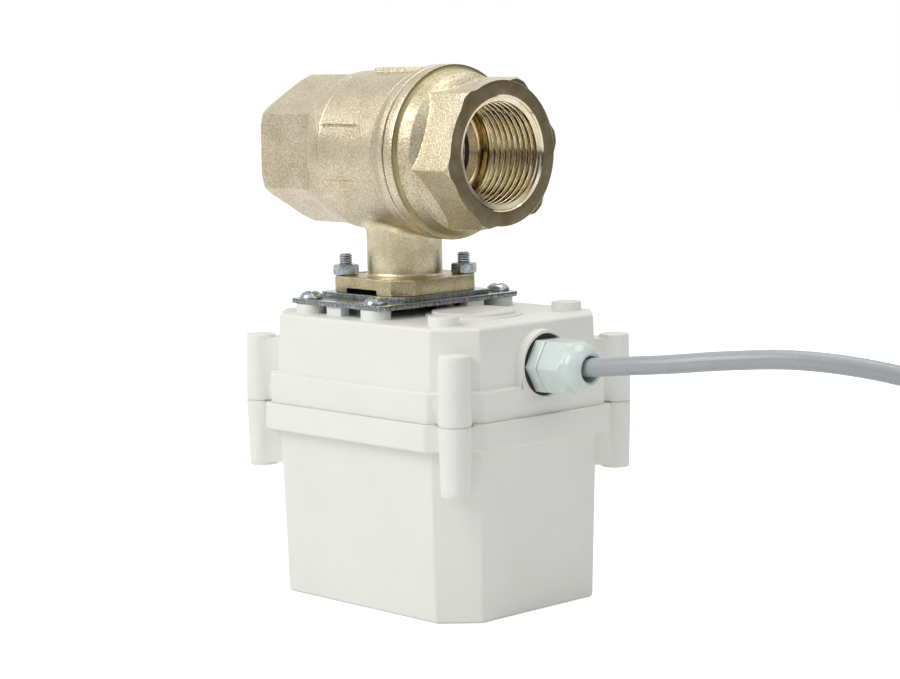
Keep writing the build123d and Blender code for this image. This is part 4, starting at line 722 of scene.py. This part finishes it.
# The thread fades at both ends
run_in = add(thread_tree, maths, {0: along, 1: size["Run in"]}, operation="DIVIDE")
from_end = add(thread_tree, maths, {0: size["Length"], 1: along}, operation="SUBTRACT")
run_out = add(thread_tree, maths, {0: from_end, 1: size["Run out"]}, operation="DIVIDE")
fade = add(thread_tree, maths, {0: run_in, 1: run_out}, operation="MINIMUM")
fade = add(thread_tree, maths, {0: fade, 1: 0.0}, operation="MAXIMUM")
fade = add(thread_tree, maths, {0: fade, 1: 1.0}, operation="MINIMUM")

# The radius: the cut wall, or the back of it on the two rows before the closing one
depth = add(thread_tree, maths, {0: size["Peak"], 1: size["Valley"]}, operation="SUBTRACT")
depth = add(thread_tree, maths, {0: depth, 1: crest}, operation="MULTIPLY")
depth = add(thread_tree, maths, {0: depth, 1: fade}, operation="MULTIPLY")
cut_radius = add(thread_tree, maths, {0: size["Valley"], 1: depth}, operation="ADD")
back_from = add(thread_tree, maths, {0: last_row, 1: 0.5}, operation="ADD")
back_to = add(thread_tree, maths, {0: last_row, 1: 2.5}, operation="ADD")
past_wall = add(thread_tree, maths, {0: row, 1: back_from}, operation="GREATER_THAN")
before_closing = add(thread_tree, maths, {0: row, 1: back_to}, operation="LESS_THAN")
is_back = add(thread_tree, maths, {0: past_wall, 1: before_closing}, operation="MULTIPLY")
radius = add(thread_tree, "ShaderNodeMix", {"Factor": is_back, "A": cut_radius, "B": size["Back"]})

# The points' new places
angle = add(thread_tree, maths, {0: round_share, 1: turn}, operation="MULTIPLY")
cosine = add(thread_tree, maths, {0: angle}, operation="COSINE")
sine = add(thread_tree, maths, {0: angle}, operation="SINE")
across = add(thread_tree, maths, {0: radius, 1: cosine}, operation="MULTIPLY")
up = add(thread_tree, maths, {0: radius, 1: sine}, operation="MULTIPLY")
place = add(thread_tree, "ShaderNodeCombineXYZ", {"X": along, "Y": across, "Z": up})
bent = add(thread_tree, "GeometryNodeSetPosition", {"Geometry": grid, "Position": place})
small = add(thread_tree, "GeometryNodeTransform", {"Geometry": bent, "Scale": (MM, MM, MM)})
merged = add(thread_tree, "GeometryNodeMergeByDistance", {"Geometry": small, "Distance": 1e-6})
hand_out(thread_tree, merged, size["Material"])


def thread(name, place, material, **sizes):
    """A cut thread with its place in its mesh; place is a matrix in metres."""
    piece = run_tree(name, thread_tree, bpy.data.meshes.new(name), material, 60, **sizes)
    piece.data.transform(place)
    return piece


# G1 pipe thread: 2.309 mm pitch, 33.25 mm over the valleys and 30.3 mm over the crests
pipe = dict(Length=22.3, Pitch=2.309, Valley=16.62, Peak=15.15, Back=16.9, Run_in=0.6, Run_out=2.0, Rows=300,
            Segments=120)
thread_x = 42.62
to_outlet = Matrix.Translation((thread_x * MM, 0, bore_z * MM)) @ Matrix.Rotation(pi, 4, "Z")
to_inlet = Matrix.Translation((-thread_x * MM, 0, bore_z * MM))
outlet_thread = thread("outlet_thread_cut", to_outlet, nickel_thread, **pipe)
inlet_thread = thread("inlet_thread_cut", to_inlet, nickel_thread, **pipe)
stands_for(outlet_thread, "nickel_cap")
stands_for(inlet_thread, "nickel_body")

# The tree that sets a shape out at places
set_out, given = new_tree("set_out", Places="NodeSocketGeometry", Shape="NodeSocketObject",
                          Material="NodeSocketMaterial")
shape = add(set_out, "GeometryNodeObjectInfo", {"Object": given["Shape"]}).outputs["Geometry"]
copies = add(set_out, "GeometryNodeInstanceOnPoints", {"Points": given["Places"], "Instance": shape})
hand_out(set_out, copies, given["Material"])


def at_places(name, shape, places, material, smooth_angle=35):
    """One object with the shape at each place in mm."""
    points = bpy.data.meshes.new(name + "_places")
    points.from_pydata([tuple(c * MM for c in place) for place in places], [], [])
    piece = run_tree(name, set_out, points, material, smooth_angle, Shape=shape)
    bpy.data.objects.remove(shape)
    return piece


# Pan head, M3.5, with a cross recess whose arms taper and stand at 45 degrees
head_r, head_h = 3.65, 2.3
shank_r = 1.7
cross_depth, arm_reach, arm_half = 1.5, 2.3, 0.62
sine_45 = 0.707
pan_rows = []
for r in np.concatenate([np.linspace(0.0, 2.4, 17), np.linspace(2.55, 3.6, 9), [head_r]]):
    x, y = r * np.cos(around), r * np.sin(around)
    dome = head_h * (1 - (r / head_r) ** 2.6) ** 0.5 if r < head_r else 0.0
    arm = np.maximum(np.abs(x + y), np.abs(x - y)) * sine_45
    off = np.minimum(np.abs(x + y), np.abs(x - y)) * sine_45
    in_arm = np.clip((arm_half - 0.1 * arm - off) / 0.2 + 0.5, 0, 1)
    recess = cross_depth * in_arm * np.clip((arm_reach - arm) / 0.8, 0, 1)
    pan_rows.append(upright_ring(max(dome, 0.25) - recess, r, around))
pan_rows += upright_rings([(0.0, 3.6), (0.0, shank_r), (-9.0, shank_r), (-10.4, 0.6), (-10.4, 0.0)], around)
pan_head = skin("pan_head", pan_rows, zinc_screw, 40, closed=False)
screw_places = [(x, y, 90.0) for x in (-14.5, 14.5) for y in (-25.5, 25.5)]
plate_screws = at_places("plate_screws_cross_recessed", pan_head, screw_places, zinc_screw, 40)
stands_for(plate_screws, "zinc_screw", "plate_screws")

# Hexagon nut, M4, chamfered above and below, with a corner towards X
nut_h, nut_flats = 3.2, 7.0
nut_rows = [upright_ring(0.0, 2.0, around)]
for z in (0.0, 0.15, 0.35, 0.6, 1.0, 1.6, 2.2, 2.6, 2.85, 3.05, nut_h):
    cone = 3.45 + 1.75 * min(z, nut_h - z)
    nut_rows.append(upright_ring(z, smooth_min(hexagon(around, nut_flats, pi / 6, 120), cone, 0.06), around))
nut_rows += upright_rings([(nut_h, 2.35), (2.9, 2.0)], around)
nut = skin("nut", nut_rows, zinc_screw, 25)
nut_places = [(x, y, flange_top) for x, y in bolt_places]
flange_nuts = at_places("flange_nuts_chamfered", nut, nut_places, zinc_screw, 25)
stands_for(flange_nuts, "zinc_screw", "flange_nuts")

# Bolts, M4 with 0.7 mm pitch: a low round head, a plain shank and a cut thread above the nut
bolt_top = 102.8
bolt_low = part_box("flange_bolts")[0].z / MM
bolt_end = thread("bolt_end", Matrix.Translation((0, 0, bolt_top * MM)) @ Matrix.Rotation(pi / 2, 4, "Y"),
                  zinc_screw, Length=6.0, Pitch=0.7, Valley=1.45, Peak=2.0, Back=0.0, Run_in=0.5, Run_out=0.4,
                  Rows=160, Segments=40)
shank_profile = [(bolt_low, 0.0), (bolt_low, 3.2), (bolt_low + 0.5, 3.75), (88.1, 3.8), (88.4, 3.6),
                 (88.45, 1.98), (96.9, 1.98), (97.0, 0.0)]
shank = skin("shank", upright_rings(shank_profile, around), zinc_screw, closed=False)
bolt = join("bolt", bolt_end, shank)
flange_bolts = at_places("flange_bolts_threaded", bolt, [(x, y, 0.0) for x, y in bolt_places], zinc_screw, 50)
stands_for(flange_bolts, "zinc_screw", "flange_bolts")


# Plates: the solids with their edges rounded; the cut edges have a finish of their own. In the
# photograph the spacer's sheet looks zinc plated as well.

for node, width, slot in (("mounting_plate", 0.18, "zinc_plate"), ("spacer_plate", 0.15, "stainless_plate")):
    plate = soften(node, width, [zinc_sheet, zinc_edge])
    for face in plate.data.polygons:
        if abs(face.normal.z) < 0.5:
            face.material_index = 1
    stands_for(plate, slot, node)


# Case: the solids with their edges rounded; the posts' halves meet in a narrow gap at the parting plane

parting_z, gap_half = 58.8, 0.17
post_places = [(x, y, 0.0) for x in (13.1 - 42.4, 13.1 + 42.4) for y in (-33.4, 33.4)]
gap_profile = [(parting_z - gap_half, 4.4), (parting_z + gap_half, 4.4), (parting_z + gap_half, 6.3),
               (parting_z - gap_half, 6.3)]
for node, slot in (("base_cover", "case_plastic"), ("deep_cover", "case_plastic"),
                   ("round_plug", "plug_plastic")):
    gap = skin("post_gap", upright_rings(gap_profile, hole_angles), case_plastic)
    gaps = at_places("post_gaps", gap, post_places, case_plastic)
    stands_for(soften(node, 0.25, case_plastic, gaps, clamp=node == "round_plug"), slot, node)


# Cable gland: hexagon body, domed nut with a round mouth, thin black washer

gland_angles = round_angles(144)
gland_nut_x = 63.1  # where the nut starts on the gland's body
dome_x = [gland_nut_x, 69.9, 70.7, 71.4, 71.8, 72.2, 73.2, 74.2, 75.0, 75.7, 76.2, 76.55, 76.6]
dome_r = [9.4, 9.0, 8.4, 7.75, 7.5, 7.45, 7.4, 7.1, 6.6, 5.95, 5.3, 4.7, 4.5]
gland_hexagon = hexagon(gland_angles, 15.0, pi / 6, 70)
gland_rows = []
for x in (gland_nut_x, 63.2, 63.4, 63.7, 64.2, 65.5, 67.0, 68.5, 69.4, 69.9, 70.3, 70.7, 71.1, 71.4, 71.6,
          71.8, 72.0, 72.2, 72.5, 72.7, 72.9, 73.2, 73.6, 74.0, 74.5, 74.9, 75.3, 75.6, 75.9, 76.1, 76.3,
          76.45, 76.55, 76.6):
    dome = min(np.interp(x, dome_x, dome_r), 8.05 + (x - gland_nut_x) * 1.6)
    gland_rows.append(ring(x, smooth_min(gland_hexagon, dome, 0.1), gland_angles, gland))
gland_rows += [ring(x, r, gland_angles, gland) for x, r in [
    (76.62, 4.4), (76.5, 4.05), (76.15, 3.8), (71.5, 3.75), (71.5, 6.6), (gland_nut_x, 6.6)]]
stands_for(skin("gland_nut_domed", gland_rows, gland_plastic, 28), "gland_plastic", "gland_nut")
stands_for(soften("gland_body", 0.25, gland_plastic), "gland_plastic", "gland_body")
stands_for(soften("gland_washer", 0.2, seal_rubber), "seal_rubber", "gland_washer")


# The cable's stripped end, behind the view: three cores with ferrules

core_offset = 1.27  # of each core from the cable's middle
jacket_end = Vector(route[-1])
level_side = end_way.cross(Vector((0, 0, 1)))
cores = []
for lift, colour in ((radians(90), core_pvc), (radians(210), core_blue), (radians(330), core_black)):
    off = (level_side * cos(lift) + Vector((0, 0, 1)) * sin(lift)) * core_offset
    for name, distances, diameter, material in (("core", (-0.6, 3.0, 8.0, 12.1), 1.5, colour),
                                                ("ferrule", (12.0, 15.0, 20.0), 1.1, zinc_screw)):
        points = [tuple(jacket_end + off + end_way * distance) for distance in distances]
        cores.append(plain_mesh(tube(name, points, diameter, material)))
stripped = join("cable_cores_stripped", *cores)
stands_for(stripped, "core_insulation", "cable_cores")
stands_for(inner_jacket, "cable_jacket", "cable_in_gland")
stands_for(jacket, "cable_jacket", "cable_free", "cable_coil")


# Floor: white paper that glows a little towards the camera, and less in what mirrors it

paper = bpy.data.materials.new("white_paper_sweep")
paper.use_nodes = True
tree = paper.node_tree
tree.nodes.clear()
light_path = add(tree, "ShaderNodeLightPath").outputs
mirrored = add(tree, maths, {0: light_path["Is Glossy Ray"], 1: light_path["Is Transmission Ray"]},
               operation="MAXIMUM")
dimmed = add(tree, maths, {0: 0.4, 1: mirrored}, operation="MULTIPLY")
seen = add(tree, maths, {0: light_path["Is Camera Ray"], 1: dimmed}, operation="MAXIMUM")
strength = add(tree, maths, {0: seen, 1: 0.63}, operation="MULTIPLY")
matte = add(tree, "ShaderNodeBsdfDiffuse", {"Color": from_hex("EDEDED")})
glow = add(tree, "ShaderNodeEmission", {"Color": (1, 1, 1, 1), "Strength": strength})
both = add(tree, "ShaderNodeAddShader", {0: matte, 1: glow})
add(tree, "ShaderNodeOutputMaterial", {"Surface": both})
far = 4000
floor = mesh_piece("floor", [(-far, -far, 0), (far, -far, 0), (far, far, 0), (-far, far, 0)], [(0, 1, 2, 3)],
                   paper)


# World: white for the camera, an even grey as light, and a room in what mirrors it. The room is white
# behind the object, to the left and overhead, and dim at eye level towards the front and the right.

world = bpy.data.worlds.new("studio")
bpy.context.scene.world = world
world.use_nodes = True
tree = world.node_tree
tree.nodes.clear()
light_path = add(tree, "ShaderNodeLightPath").outputs
mirrored = add(tree, maths, {0: light_path["Is Glossy Ray"], 1: light_path["Is Transmission Ray"]},
               operation="MAXIMUM")
direction = add(tree, "ShaderNodeTexCoord").outputs["Generated"]
way_out = add(tree, "ShaderNodeSeparateXYZ", {"Vector": direction}).outputs
backwards = add(tree, maths, {0: way_out["Y"], 1: 0.28}, operation="MULTIPLY")
rightwards = add(tree, maths, {0: way_out["X"], 1: 0.77}, operation="MULTIPLY")
behind = add(tree, maths, {0: backwards, 1: rightwards}, operation="SUBTRACT")
wall = add(tree, "ShaderNodeMapRange", {"Value": behind, "From Min": -0.12, "From Max": 0.8, "To Min": 0.08,
                                        "To Max": 1.0}, interpolation_type="SMOOTHSTEP")
roof = add(tree, "ShaderNodeMapRange", {"Value": way_out["Z"], "From Min": 0.2, "From Max": 0.6},
           interpolation_type="SMOOTHSTEP")
room = add(tree, maths, {0: wall, 1: roof}, operation="MAXIMUM")
reflection = add(tree, maths, {0: mirrored, 1: room}, operation="MULTIPLY")
unmirrored = add(tree, maths, {0: 1.0, 1: mirrored}, operation="SUBTRACT")
even_light = add(tree, maths, {0: unmirrored, 1: 0.48}, operation="MULTIPLY")
light = add(tree, maths, {0: reflection, 1: even_light}, operation="ADD")
strength = add(tree, maths, {0: light_path["Is Camera Ray"], 1: light}, operation="MAXIMUM")
sky = add(tree, "ShaderNodeBackground", {"Color": (1, 1, 1, 1), "Strength": strength})
add(tree, "ShaderNodeOutputWorld", {"Surface": sky})


# Lamps: soft boxes that look at the object's middle, with places and sizes in metres

def lamp(name, place, wide, high, watts):
    data = bpy.data.lights.new(name, "AREA")
    data.shape, data.size, data.size_y, data.energy = "RECTANGLE", wide, high, watts
    box = bpy.data.objects.new(name, data)
    bpy.context.scene.collection.objects.link(box)
    box.location = place
    box.rotation_euler = (Vector((0, 0, 0.1)) - Vector(place)).to_track_quat("-Z", "Y").to_euler()


lamp("key", (-0.35, -1.15, 0.95), 0.9, 0.9, 10.6)
lamp("fill", (1.2, -0.1, 0.6), 0.7, 0.9, 1.1)
lamp("top", (0.1, 0.3, 1.3), 0.9, 0.6, 4.5)
